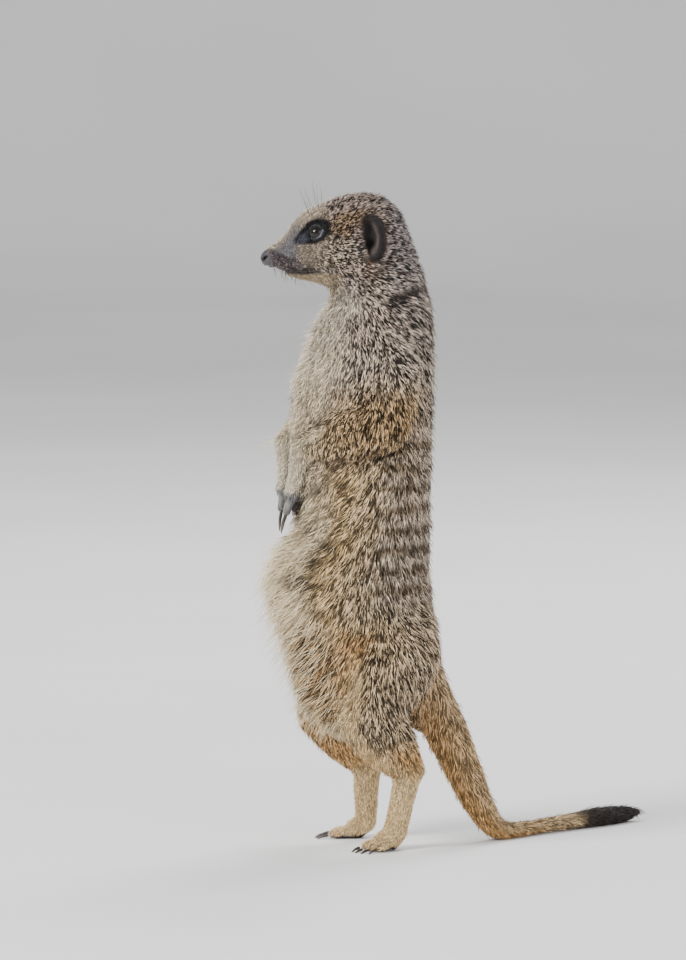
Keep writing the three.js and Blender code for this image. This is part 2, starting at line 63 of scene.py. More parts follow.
mm = 0.001
nodes = frame["nodes"]
sides = {"left": 1, "right": -1}
draw = np.random.default_rng(11)  # the coat's random numbers
up = np.array([0.0, 0.0, 1.0])


def unit(vectors):
    length = np.linalg.norm(vectors, axis=-1, keepdims=True)
    return vectors / np.maximum(length, 1e-9)


def smooth(low, high, value):
    t = np.clip((value - low) / (high - low), 0, 1)
    return t * t * (3 - 2 * t)


def dot(a, b):
    return (a * b).sum(-1)


def boxOf(node):
    low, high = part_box(node)
    return np.array(low), np.array(high)


def middleOf(node):
    low, high = boxOf(node)
    return (low + high) / 2


def sizeOf(node):
    low, high = boxOf(node)
    return high - low


# Landmarks, all from the frame
low, high = (np.array(corner) for corner in cadBounds)
nosePad = middleOf("nose_pad")
noseTip = np.array([nosePad[0], boxOf("nose_pad")[0][1], nosePad[2]])
eyeRadius = sizeOf("eye_left")[2] / 2
eyeCentre = {side: middleOf("eye_" + side) for side in sides}
earCentre = {side: middleOf("ear_" + side) for side in sides}
jawLow, jawHigh = boxOf("lower_jaw")
mouthZ = jawHigh[2]
bodyTurn = math.radians(15)  # chest and belly face a little to the animal's left
bodyFront = np.array([math.sin(bodyTurn), -math.cos(bodyTurn), 0.0])
print("frame and landmarks ready")


def nearEye(points, side, reach):
    return np.linalg.norm(points - eyeCentre[side], axis=1) < reach * mm


# A triangle mesh as arrays, with a table of each vertex's neighbours
class Surface:
    def __init__(self, mesh):
        mesh.calc_loop_triangles()
        self.points = np.empty(len(mesh.vertices) * 3)
        mesh.vertices.foreach_get("co", self.points)
        self.points = self.points.reshape(-1, 3)
        corners = np.empty(len(mesh.loop_triangles) * 3, int)
        mesh.loop_triangles.foreach_get("vertices", corners)
        self.triangles = corners.reshape(-1, 3)
        edges = np.sort(self.triangles[:, [[0, 1], [1, 2], [2, 0]]].reshape(-1, 2), axis=1)
        edges = np.unique(edges[:, 0] * len(self.points) + edges[:, 1])
        edges = np.stack([edges // len(self.points), edges % len(self.points)], axis=1)
        ends = np.concatenate([edges, edges[:, ::-1]])
        ends = ends[np.argsort(ends[:, 0], kind="stable")]
        self.counts = np.bincount(ends[:, 0], minlength=len(self.points))
        starts = np.cumsum(self.counts) - self.counts
        column = np.arange(len(ends)) - starts[ends[:, 0]]
        self.table = np.repeat(np.arange(len(self.points))[:, None], self.counts.max(), axis=1)
        self.table[ends[:, 0], column] = ends[:, 1]
        self.spare = (self.counts.max() - self.counts)[:, None]

    def aroundSum(self, values):
        total = -self.spare * values
        for column in self.table.T:
            total += values[column]
        return total

    # Spreads values over the surface. reach is how many edge lengths, squared, they run together.
    def relax(self, values, reach, steps=60):
        hold = np.broadcast_to(1 / np.asarray(reach, float), len(values))[:, None]
        start = values.reshape(len(values), -1)
        diagonal = hold + self.counts[:, None]
        found = start.copy()
        residual = hold * start - (diagonal * found - self.aroundSum(found))
        step = residual / diagonal
        heading = step.copy()
        energy = (residual * step).sum(0)
        for _ in range(steps):
            pushed = diagonal * heading - self.aroundSum(heading)
            share = energy / np.maximum((heading * pushed).sum(0), 1e-30)
            found += share * heading
            residual -= share * pushed
            step = residual / diagonal
            fresh = (residual * step).sum(0)
            heading = step + heading * (fresh / np.maximum(energy, 1e-30))
            energy = fresh
        return found.reshape(values.shape)

    def faceNormals(self):
        a, b, c = (self.points[self.triangles[:, i]] for i in range(3))
        return np.cross(b - a, c - a)

    # The way that each vertex's triangles point together
    def gathered(self, ways):
        total = np.zeros_like(self.points)
        for i in range(3):
            for axis in range(3):
                total[:, axis] += np.bincount(self.triangles[:, i], ways[:, axis], len(self.points))
        return unit(total)

    def normals(self):
        return self.gathered(self.faceNormals())


def meshFrom(name, points, faces, sizes):
    mesh = bpy.data.meshes.new(name)
    mesh.vertices.add(len(points))
    mesh.vertices.foreach_set("co", np.asarray(points, np.float32).ravel())
    mesh.loops.add(len(faces))
    mesh.loops.foreach_set("vertex_index", np.asarray(faces, np.int32))
    mesh.polygons.add(len(sizes))
    starts = np.cumsum(sizes) - sizes
    mesh.polygons.foreach_set("loop_start", starts.astype(np.int32))
    mesh.update(calc_edges=True)
    mesh.validate()
    return mesh


def placed(name, mesh):
    piece = bpy.data.objects.new(name, mesh)
    bpy.context.scene.collection.objects.link(piece)
    return piece


# Makes what the piece's modifiers show its own mesh
def applied(piece):
    graph = bpy.context.evaluated_depsgraph_get()
    mesh = bpy.data.meshes.new_from_object(piece.evaluated_get(graph))
    piece.modifiers.clear()
    old = piece.data
    piece.data = mesh
    bpy.data.meshes.remove(old)
    return piece


def withModifier(piece, kind, **settings):
    modifier = piece.modifiers.new(kind.lower(), kind)
    for key, value in settings.items():
        setattr(modifier, key, value)
    return applied(piece)


def colourLayer(mesh, name, colours):
    layer = mesh.color_attributes.new(name, "FLOAT_COLOR", "POINT")
    layer.data.foreach_set("color", colours.ravel())


def shadeSmooth(mesh):
    mesh.polygons.foreach_set("use_smooth", np.ones(len(mesh.polygons), bool))


# A CAD node's triangles come loose: this is a merged copy of them
def mergedNode(name, swell=0.0):
    form = bmesh.new()
    form.from_mesh(nodes[name].data)
    bmesh.ops.remove_doubles(form, verts=form.verts, dist=1e-6)
    form.normal_update()
    for vertex in form.verts:
        vertex.co += vertex.normal * swell
    return form


# Several nodes in one mesh, with the points of each
def joinedNodes(title, names, swell=0.0):
    joined = bmesh.new()
    parts = []
    for name in names:
        mesh = bpy.data.meshes.new(name)
        mergedNode(name, swell).to_mesh(mesh)
        joined.from_mesh(mesh)
        parts.append(np.array([vertex.co for vertex in mesh.vertices]))
        bpy.data.meshes.remove(mesh)
    mesh = bpy.data.meshes.new(title)
    joined.to_mesh(mesh)
    return mesh, parts


# The skin: one closed surface through all the flesh

separate = ("eye_", "hand_claw_", "foot_claw_")
fleshNodes = sorted(name for name in nodes if not name.startswith(separate))

skinShape = {
    "swell": 0.35,  # mm, closes the thin cuts between the solids
    "voxel": 0.7,  # mm
    "bodyReach": 90,  # how far facets are smoothed away, in edge lengths squared
    "limbReach": 20,
    "pawReach": 2.5,
    "earReach": 1.5,
    "faceReach": 12,
    "keptShare": 0.3,  # of the triangles, once the covered body is thinned out
    "fineFace": 42,  # mm behind the nose that keep a finer mesh
    "fineEye": 9.5, "fineMouth": 9,  # mm round each eye, and above and below the mouth, that are refined
}

# Depth of the coat, then length, width and rise of its tufts, in mm, and tufts for each mm2;
# front: how much longer and deeper the coat is on the breast and belly side
coatColumns = ("depth", "length", "width", "rise", "density", "front")
regions = {
    "face": (0.9, 2.0, 0.36, 0.75, 3.9, 0),
    "head": (1.9, 2.5, 0.36, 1.9, 4.5, 0),
    "ear": (0.35, 1.4, 0.28, 0.35, 2.2, 0),
    "neck": (3.0, 5.0, 0.5, 3.0, 2.6, 0.9),
    "chest": (3.2, 6.8, 0.55, 3.3, 1.8, 1.3),
    "belly": (3.4, 7.6, 0.57, 3.4, 1.6, 2.1),
    "upperArm": (2.4, 6.0, 0.55, 2.4, 1.8, 0),
    "forearm": (1.8, 4.4, 0.46, 1.8, 2.3, 0),
    "hand": (0.6, 2.2, 0.32, 0.6, 2.9, 0),
    "thigh": (3.2, 7.2, 0.56, 3.1, 1.9, 1.1),
    "shank": (2.2, 5.5, 0.5, 2.0, 1.9, 0),
    "foot": (0.8, 2.9, 0.38, 0.75, 2.8, 0),
    "tailBase": (2.8, 7.5, 0.52, 2.6, 2.1, 0),
    "tailMiddle": (1.8, 5.5, 0.42, 1.7, 3.0, 0),
    "tailTip": (1.8, 8.0, 0.42, 2.0, 3.4, 0),
}
regionNames = list(regions)
# Where the first word of a node's name isn't its region
otherwise = {"lower": "face", "nose": "face", "upper": "upperArm"}


def regionOf(node):
    first, *rest = node.split("_")
    return first + rest[0].title() if first == "tail" else otherwise.get(first, first)


# Which CAD node each point lies nearest to
def nearestNodes(points):
    corners, faces, owner = [], [], []
    for index, name in enumerate(fleshNodes):
        mesh = nodes[name].data
        first = len(corners)
        corners += [vertex.co for vertex in mesh.vertices]
        faces += [[first + i for i in polygon.vertices] for polygon in mesh.polygons]
        owner += [index] * len(mesh.polygons)
    tree = BVHTree.FromPolygons(corners, faces)
    return np.array([owner[tree.find_nearest(point)[2]] for point in points])


def hasPrefix(labels, *starts):
    return np.isin(labels, [i for i, name in enumerate(fleshNodes) if name.startswith(starts)])


def closedShell():
    names = fleshNodes + ["eye_left", "eye_right"]
    skin = placed("skin", joinedNodes("skin", names, skinShape["swell"] * mm)[0])
    return withModifier(skin, "REMESH", mode="VOXEL",
                        voxel_size=skinShape["voxel"] * mm, adaptivity=0)


# Smooths the shell, least where forms are small, and thins it out where the coat covers it
def easedShell(skin):
    shell = Surface(skin.data)
    labels = nearestNodes(shell.points)
    reach = np.full(len(shell.points), float(skinShape["bodyReach"]))
    behind = shell.points[:, 1] - noseTip[1]
    onHead = hasPrefix(labels, "head", "lower", "nose")
    reach[onHead] = skinShape["faceReach"] + 3 * np.clip(behind[onHead] / mm - 30, 0, 20)
    reach[hasPrefix(labels, "upper", "forearm", "shank", "tail")] = skinShape["limbReach"]
    reach[hasPrefix(labels, "hand", "foot")] = skinShape["pawReach"]
    reach[hasPrefix(labels, "ear")] = skinShape["earReach"]
    reach = np.exp(shell.relax(np.log(reach)[:, None], 12)[:, 0])
    eased = shell.relax(shell.points, reach)
    eased += shell.relax(shell.points - eased, reach)  # gives back what smoothing took off the form
    skin.data.vertices.foreach_set("co", eased.astype(np.float32).ravel())
    fine = hasPrefix(labels, "hand", "foot", "ear", "nose", "lower")
    fine |= onHead & (behind < skinShape["fineFace"] * mm)
    fine = shell.relax(fine.astype(float)[:, None], 30)[:, 0]
    group = skin.vertex_groups.new(name="covered")
    for weight in np.linspace(0.1, 1, 10):
        chosen = np.flatnonzero(np.abs(1 - fine - weight) <= 0.05)
        group.add(chosen.tolist(), float(weight), "REPLACE")
    withModifier(skin, "DECIMATE", ratio=skinShape["keptShare"], vertex_group="covered",
                 vertex_group_factor=1.0)
    skin.vertex_groups.clear()


# Halves the edges round eyes, nose and mouth, where the lids and lips are modelled
def refinedFace(skin):
    form = bmesh.new()
    form.from_mesh(skin.data)

    points = np.array([vertex.co for vertex in form.verts])
    onFace = (points[:, 1] < noseTip[1] + skinShape["fineFace"] * mm) & (points[:, 2] > jawLow[2])
    byMouth = np.abs(points[:, 2] - mouthZ) < skinShape["fineMouth"] * mm
    byMouth &= points[:, 1] < jawHigh[1] + 1 * mm
    byEyes = nearEye(points, "left", skinShape["fineEye"]) | nearEye(points, "right", skinShape["fineEye"])
    verts = list(form.verts)
    chosen = {verts[i] for i in np.flatnonzero(onFace & (byMouth | byEyes))}
    edges = [edge for edge in form.edges if edge.verts[0] in chosen and edge.verts[1] in chosen]
    bmesh.ops.subdivide_edges(form, edges=edges, cuts=1, use_grid_fill=True)
    bmesh.ops.triangulate(form, faces=form.faces)
    form.to_mesh(skin.data)


skin = closedShell()
print("shell closed:", len(skin.data.polygons))
easedShell(skin)
refinedFace(skin)
body = Surface(skin.data)
print("skin mesh:", len(body.triangles))

# What the coat and the markings read at each vertex

labels = nearestNodes(body.points)
normals = unit(body.relax(body.normals(), 6))
behindNose = (body.points[:, 1] - noseTip[1]) / mm
shares = np.stack([
    np.isin(labels, [i for i, node in enumerate(fleshNodes) if regionOf(node) == name])
    for name in regionNames], axis=1).astype(float)
isFace = smooth(40, 30, behindNose)[:, None]
headColumn, faceColumn = regionNames.index("head"), regionNames.index("face")
shares[:, [faceColumn]] += shares[:, [headColumn]] * isFace
shares[:, [headColumn]] *= 1 - isFace
sharpShares = body.relax(shares, 4)
shares = np.clip(body.relax(shares, 45), 0, 1)
earColumn = regionNames.index("ear")
shares[:, earColumn] = np.clip(sharpShares[:, earColumn], 0, 1) * 3
shares /= shares.sum(1, keepdims=True)
facing = dot(unit(body.relax(body.normals(), 60)), bodyFront)
frontness = body.relax(smooth(0.25, 0.85, facing)[:, None], 30)[:, 0]


def share(*names):
    return sum(shares[:, regionNames.index(name)] for name in names)


# The long fringe behind the hands
handMiddle = middleOf("hand_left")[2]
fringe = smooth(26 * mm, 8 * mm, np.abs(body.points[:, 2] - handMiddle))


def coatValue(key):
    table = shares @ np.array([regions[name] for name in regionNames])
    plain, longer = table[:, coatColumns.index(key)], table[:, -1]
    if key != "depth":
        longer = longer * (1 + 0.5 * fringe)
    most = {"depth": 1.15, "rise": -0.17, "length": 0.5}.get(key, 0)
    return plain * (1 + most * longer * frontness)


# Folds where limbs lie against the trunk: 1 in the fold, 0 a few mm away
def foldOf(*limb):
    inside = body.relax(hasPrefix(labels, *limb).astype(float)[:, None], 5)[:, 0]
    return smooth(0.3, 0.95, 4 * inside * (1 - inside))


elbowZ = boxOf("forearm_left")[0][2]
armFold = np.maximum(*(foldOf("forearm_" + side, "upper_arm_" + side, "hand_" + side) for side in sides))
armFold *= smooth(elbowZ + 42 * mm, elbowZ + 20 * mm, body.points[:, 2])
thighFold = np.maximum(*(foldOf("thigh_" + side, "shank_" + side) for side in sides))
thighFold *= smooth(-0.1, 0.3, facing)
fold = np.maximum(armFold, 0.55 * thighFold)


# The way the hair lies: away from the nose along the surface, and on the trunk forwards to the belly
def lieOfCoat():
    far = np.full(len(body.points), np.inf)
    first = int(np.argmin(np.linalg.norm(body.points - noseTip, axis=1)))
    far[first] = 0
    queue = [(0.0, first)]
    points, table = body.points.tolist(), body.table.tolist()
    while queue:
        here, i = heapq.heappop(queue)
        if here > far[i]:
            continue
        for j in table[i]:
            there = here + math.dist(points[i], points[j])
            if there < far[j]:
                far[j] = there
                heapq.heappush(queue, (there, j))
    far = body.relax(np.minimum(far, 1)[:, None], 40)[:, 0]
    corners = body.triangles
    a, b, c = (body.points[corners[:, i]] for i in range(3))
    face = body.faceNormals()
    slope = sum(np.cross(face, edge) * far[corners[:, [i]]] for i, edge in enumerate((c - b, a - c, b - a)))
    slope /= np.maximum(dot(face, face), 1e-20)[:, None]
    return body.gathered(slope * np.linalg.norm(face, axis=1)[:, None])


lie = lieOfCoat()
forwards = 2.6 * share("belly") + 1.6 * share("chest") + 0.3 * share("thigh") + 0.5 * share("neck")
tall = (body.points[:, 2] - low[2]) / (high[2] - low[2])
turnFrom = -0.7 + 0.9 * smooth(0.5, 0.4, tall)
forwards *= smooth(turnFrom, turnFrom + 0.95, facing)
lie = lie + bodyFront * forwards[:, None]
lie = unit(body.relax(lie, 80))
lie = unit(lie - normals * dot(lie, normals)[:, None])
print("coat regions and its lie ready")


# Modelling the skin

face = {
    "lidWide": 4.1, "lidHigh": 3.0,  # mm, half the opening between the lids
    "lidTilt": -18,  # degrees, the inner corner lies lower
    "lidThick": 0.8,
    "gaze": (0.9, -0.42, 0.1),
    # the line between the lips: mm behind the nose, mm above the jaw's top
    "mouthLine": ((4.5, 1.3), (6.5, 1.0), (14, -1.1), (23, -1.4), (29, -0.6), (33, -0.2)),
    "mouthDeep": 0.9, "mouthWide": 0.5, "mouthEnd": 31,
    "nostril": (2.7, 2.4, 0.3), "nostrilSlope": (0, 0.75, 0.66), "nostrilDeep": 1.9,
    "nostrilReach": (1.6, 1.5, 0.62),
    "slot": (3.6, 4.9, -1.9), "slotReach": (2.0, 0.5, 2.4), "slotDeep": 0.5,  # behind the nostril
    # mm behind and above the middle of the ear, and how deep; reach is half their size
    "earHollows": ((-0.6, 5.6, 1.7), (-1.6, -3.2, 2.4)), "earReach": (4, 2.6, 3.0),
}


def eyeAxes(side):
    gaze = unit(np.array(face["gaze"]) * [sides[side], 1, 1])
    tilt = math.radians(face["lidTilt"])
    along = np.array([0.0, -math.cos(tilt), math.sin(tilt)])
    along = unit(along - gaze * along.dot(gaze))
    rise = np.cross(gaze, along)
    return gaze, along, rise * np.sign(rise[2])


# How far a point lies from the middle of the lids' opening: 1 is the edge of the lids
def lidPlace(points, side):
    gaze, along, rise = eyeAxes(side)
    ray = unit(points - eyeCentre[side])
    angle = np.arccos(np.clip(ray @ gaze, -1, 1))
    flat = unit(ray - gaze * (ray @ gaze)[:, None]) * (angle * eyeRadius / mm)[:, None]
    across, height = flat @ along, flat @ rise
    upper = np.where(height > 0, face["lidHigh"], face["lidHigh"] * 0.9)
    place = np.hypot(across / face["lidWide"], height / upper)
    corner = smooth(0.5, 1, np.abs(across) / face["lidWide"])  # the opening narrows to its corners
    return place + 0.18 * corner * smooth(0, 2, np.abs(height)), ray


def setLids(points):
    for side in sides:
        place, ray = lidPlace(points, side)
        gap = np.linalg.norm(points - eyeCentre[side], axis=1) / eyeRadius
        lid = np.interp(place, [0, 0.7, 1, 1.2, 1.5, 2.0],
                        [-1.8, -1.6, -0.1, 1.0, 1.0, 0.7]) * face["lidThick"] * mm
        held = eyeCentre[side] + ray * (eyeRadius + lid[:, None])
        over = np.maximum(gap, 1 + lid / eyeRadius)  # further out, the skin only keeps clear of the ball
        clear = eyeCentre[side] + ray * (eyeRadius * over)[:, None]
        near = smooth(2.4, 1.9, gap)
        points = points + (clear - points) * near[:, None]
        points += (held - points) * (smooth(1.75, 1.4, place) * near)[:, None]
    return points


def press(points, way, middle, axes, reach, deep):
    gap = (points - middle) @ np.transpose(axes) / (np.array(reach) * mm)
    return points - way * (deep * mm * np.exp(-dot(gap, gap)))[:, None]


# Furrows between toes and fingers, from the claws: 1 in a furrow
def toeGaps(points):
    gaps = np.zeros(len(points))
    for limb, long, wide in (("foot", 13, 1.7), ("hand", 9, 0.7)):
        for side in sides:
            claws = [boxOf(f"{limb}_claw_{side}_{number}") for number in range(1, 5)]
            middles = np.array([(corner[0] + corner[1]) / 2 for corner in claws])
            heading = unit(middleOf(f"{limb}_{side}") - middles.mean(0))
            heading = unit(heading * [1, 1, 0.3 if limb == "foot" else 1])
            for first, second in zip(middles[:-1], middles[1:]):
                across = unit((second - first) - heading * (second - first).dot(heading))
                start = (first + second) / 2
                along = (points - start) @ heading / mm
                off = np.abs((points - start) @ across) / mm
                near = np.linalg.norm(points - start - heading * 7 * mm, axis=1) < (long + 3) * mm
                furrow = smooth(wide, 0, off) * smooth(-3, 1, along) * smooth(long + 4, long - 4, along)
                gaps = np.maximum(gaps, furrow * near * hasPrefix(labels, f"{limb}_{side}"))
    return gaps


# The bare fingers: 1 at their tips
def fingers(points, above=0.4, below=0.24):
    found = np.zeros(len(points))
    for side in sides:
        handLow, handHigh = boxOf("hand_" + side)
        tip = smooth(above, below, (points[:, 2] - handLow[2]) / (handHigh[2] - handLow[2]))
        found = np.maximum(found, tip * hasPrefix(labels, "hand_" + side))
    return found


def mouthHeight(place):
    behind, above = np.transpose(face["mouthLine"])
    return (place[:, 2] + noseTip[2] / mm - mouthZ / mm) - np.interp(place[:, 1], behind, above)


def setNostrils(points):
    slope = unit(np.array(face["nostrilSlope"]))
    axes = np.array([[1, 0, 0], slope, np.cross([1, 0, 0], slope)])
    for sign in sides.values():
        flip = np.array([sign, 1, 1]) * mm
        points = press(points, normals, noseTip + face["nostril"] * flip, axes,
                       face["nostrilReach"], face["nostrilDeep"])
        points = press(points, normals, noseTip + face["slot"] * flip, np.eye(3),
                       face["slotReach"], face["slotDeep"])
    return points


def setEars(points):
    for side, sign in sides.items():
        out = np.array([sign, -0.3, 0]) / 1.04
        for back, height, deep in face["earHollows"]:
            middle = earCentre[side] + np.array([-1.0 * sign, back, height]) * mm
            points = press(points, out, middle, np.eye(3), face["earReach"], deep)
    return points


# The line between the lips, and the groove under the nose
def setLips(points):
    side, behind, above = ((points - noseTip) / mm).T
    height = mouthHeight((points - noseTip) / mm)
    onLips = smooth(face["mouthEnd"], face["mouthEnd"] - 4, behind) * smooth(2.5, 4, behind)
    lips = np.exp(-(height / face["mouthWide"]) ** 2) * face["mouthDeep"]
    lips -= 0.3 * np.exp(-((height - 1.3) / 0.9) ** 2)  # the upper lip hangs over the lower
    groove = np.exp(-(side / 0.45) ** 2) * smooth(5.0, 3.5, behind) * smooth(-0.8, -1.6, above) * 0.6
    isHead = share("face", "head") > 0.5
    return points - normals * ((lips * onLips + groove) * isHead * mm)[:, None]


def modelled(points):
    depth = coatValue("depth") * mm
    depth -= (0.3 * mm + depth) * fingers(points)
    bare = smooth(4.5, 8, behindNose) * 0.9 + 0.1
    points = points - normals * (depth * np.where(share("face") > 0.5, bare, 1))[:, None]
    gaps = toeGaps(points) * (0.6 + 1.3 * share("foot"))
    points -= normals * ((fold * 1.6 + gaps) * mm)[:, None]
    return setLips(setEars(setNostrils(setLids(points))))


body.points = modelled(body.points)
skin.data.vertices.foreach_set("co", body.points.astype(np.float32).ravel())
skin.data.update()
normals = body.normals()
lie = unit(lie - normals * dot(lie, normals)[:, None])
print("skin modelled")


# Markings, the same for the skin and the coat

# Red, green and blue as seen on a screen, 0 to 255; the dark of the creases, partings, ear hollows and
# nostrils is painted shade, the blue-grey before the eyes a painted sheen and the pale lid edge a painted
# reflection
palette = {
    "crown": (136, 122, 114), "behindEye": (132, 108, 84), "cheek": (150, 136, 119),
    "bridge": (190, 174, 152), "muzzle": (130, 127, 130), "whiskerPad": (84, 74, 74),
    "lip": (48, 38, 35), "jaw": (166, 147, 118), "throat": (186, 177, 165), "nape": (118, 110, 112),
    "neckSide": (158, 134, 108), "shoulder": (128, 117, 108), "back": (188, 172, 154),
    "silver": (226, 210, 192),
    "flank": (200, 174, 134), "chestFront": (252, 236, 206), "bellyFront": (255, 236, 197),
    "bellyMixed": (226, 206, 170), "bellySide": (192, 160, 108), "arm": (152, 116, 58),
    "paleArm": (244, 228, 194), "handFur": (255, 242, 216), "finger": (104, 105, 108),
    "thigh": (164, 142, 112), "thighEdge": (226, 196, 148), "groove": (152, 112, 62),
    "knee": (204, 152, 86), "shin": (250, 212, 154), "footFur": (255, 224, 170),
    "heelFur": (172, 124, 58),
    "sole": (52, 42, 38), "tailBase": (204, 176, 134), "tailUnder": (190, 142, 78),
    "tailTip": (34, 25, 23), "eyePatch": (18, 16, 21), "tear": (92, 92, 107), "ear": (36, 29, 27),
    "earHollow": (14, 10, 9), "earRim": (84, 74, 70), "nose": (70, 67, 70), "nostril": (10, 8, 8),
    "bar": (30, 22, 15), "rust": (140, 92, 58), "lidRim": (14, 12, 13), "lidEdge": (126, 128, 140),
    "crease": (34, 23, 15),
}


def linear(colour):
    part = np.array(colour) / 255
    return np.where(part < 0.04045, part / 12.92, ((part + 0.055) / 1.055) ** 2.4)


# Smooth random values over space, from -1 to 1
def mottle(points, size, seed):
    place = points / (size * mm)
    cell = np.floor(place).astype(np.int64)
    t = place - cell
    t = t * t * (3 - 2 * t)
    total = np.zeros(len(points))
    for corner in np.ndindex(2, 2, 2):
        key = (cell + corner) @ np.array([73856093, 19349663, 83492791]) + seed * 9176
        value = np.modf(np.abs(np.sin(key % 100003 * 12.9898) * 43758.5453))[0]
        total += value * np.prod(np.where(corner, t, 1 - t), axis=1)
    return total * 2 - 1


# Where the long side hair parts: mm behind and above the middle of the near hand, half length, tip
partings = (
    (8, -6, 7, 23), (3, -22, 8, -16), (2, -50, 5, -20), (10, -41, 5, 20), (18, 6.5, 6, -8), (14, -34, 4, 10),
)


# An oval patch in side view: 1 inside, 0 outside. turn tips its long axis down at the front, in
# degrees, and taper narrows it towards the front.
def patch(points, centre, reach, turn=0.0, soft=0.3, taper=0.0):
    back, above = (points[:, 1] - centre[0]) / mm, (points[:, 2] - centre[1]) / mm
    turn = math.radians(turn)
    along = back * math.cos(turn) + above * math.sin(turn)
    over = above * math.cos(turn) - back * math.sin(turn)
    over /= reach[1] * (1 - taper * smooth(0.3, -1, along / reach[0]))
    return smooth(1 + soft, 1 - soft, np.hypot(along / reach[0], over))


# A place in side view, in mm behind and above the middle of the ear
def byEar(back, above):
    return earCentre["left"][1:] + np.array([back, above]) * mm


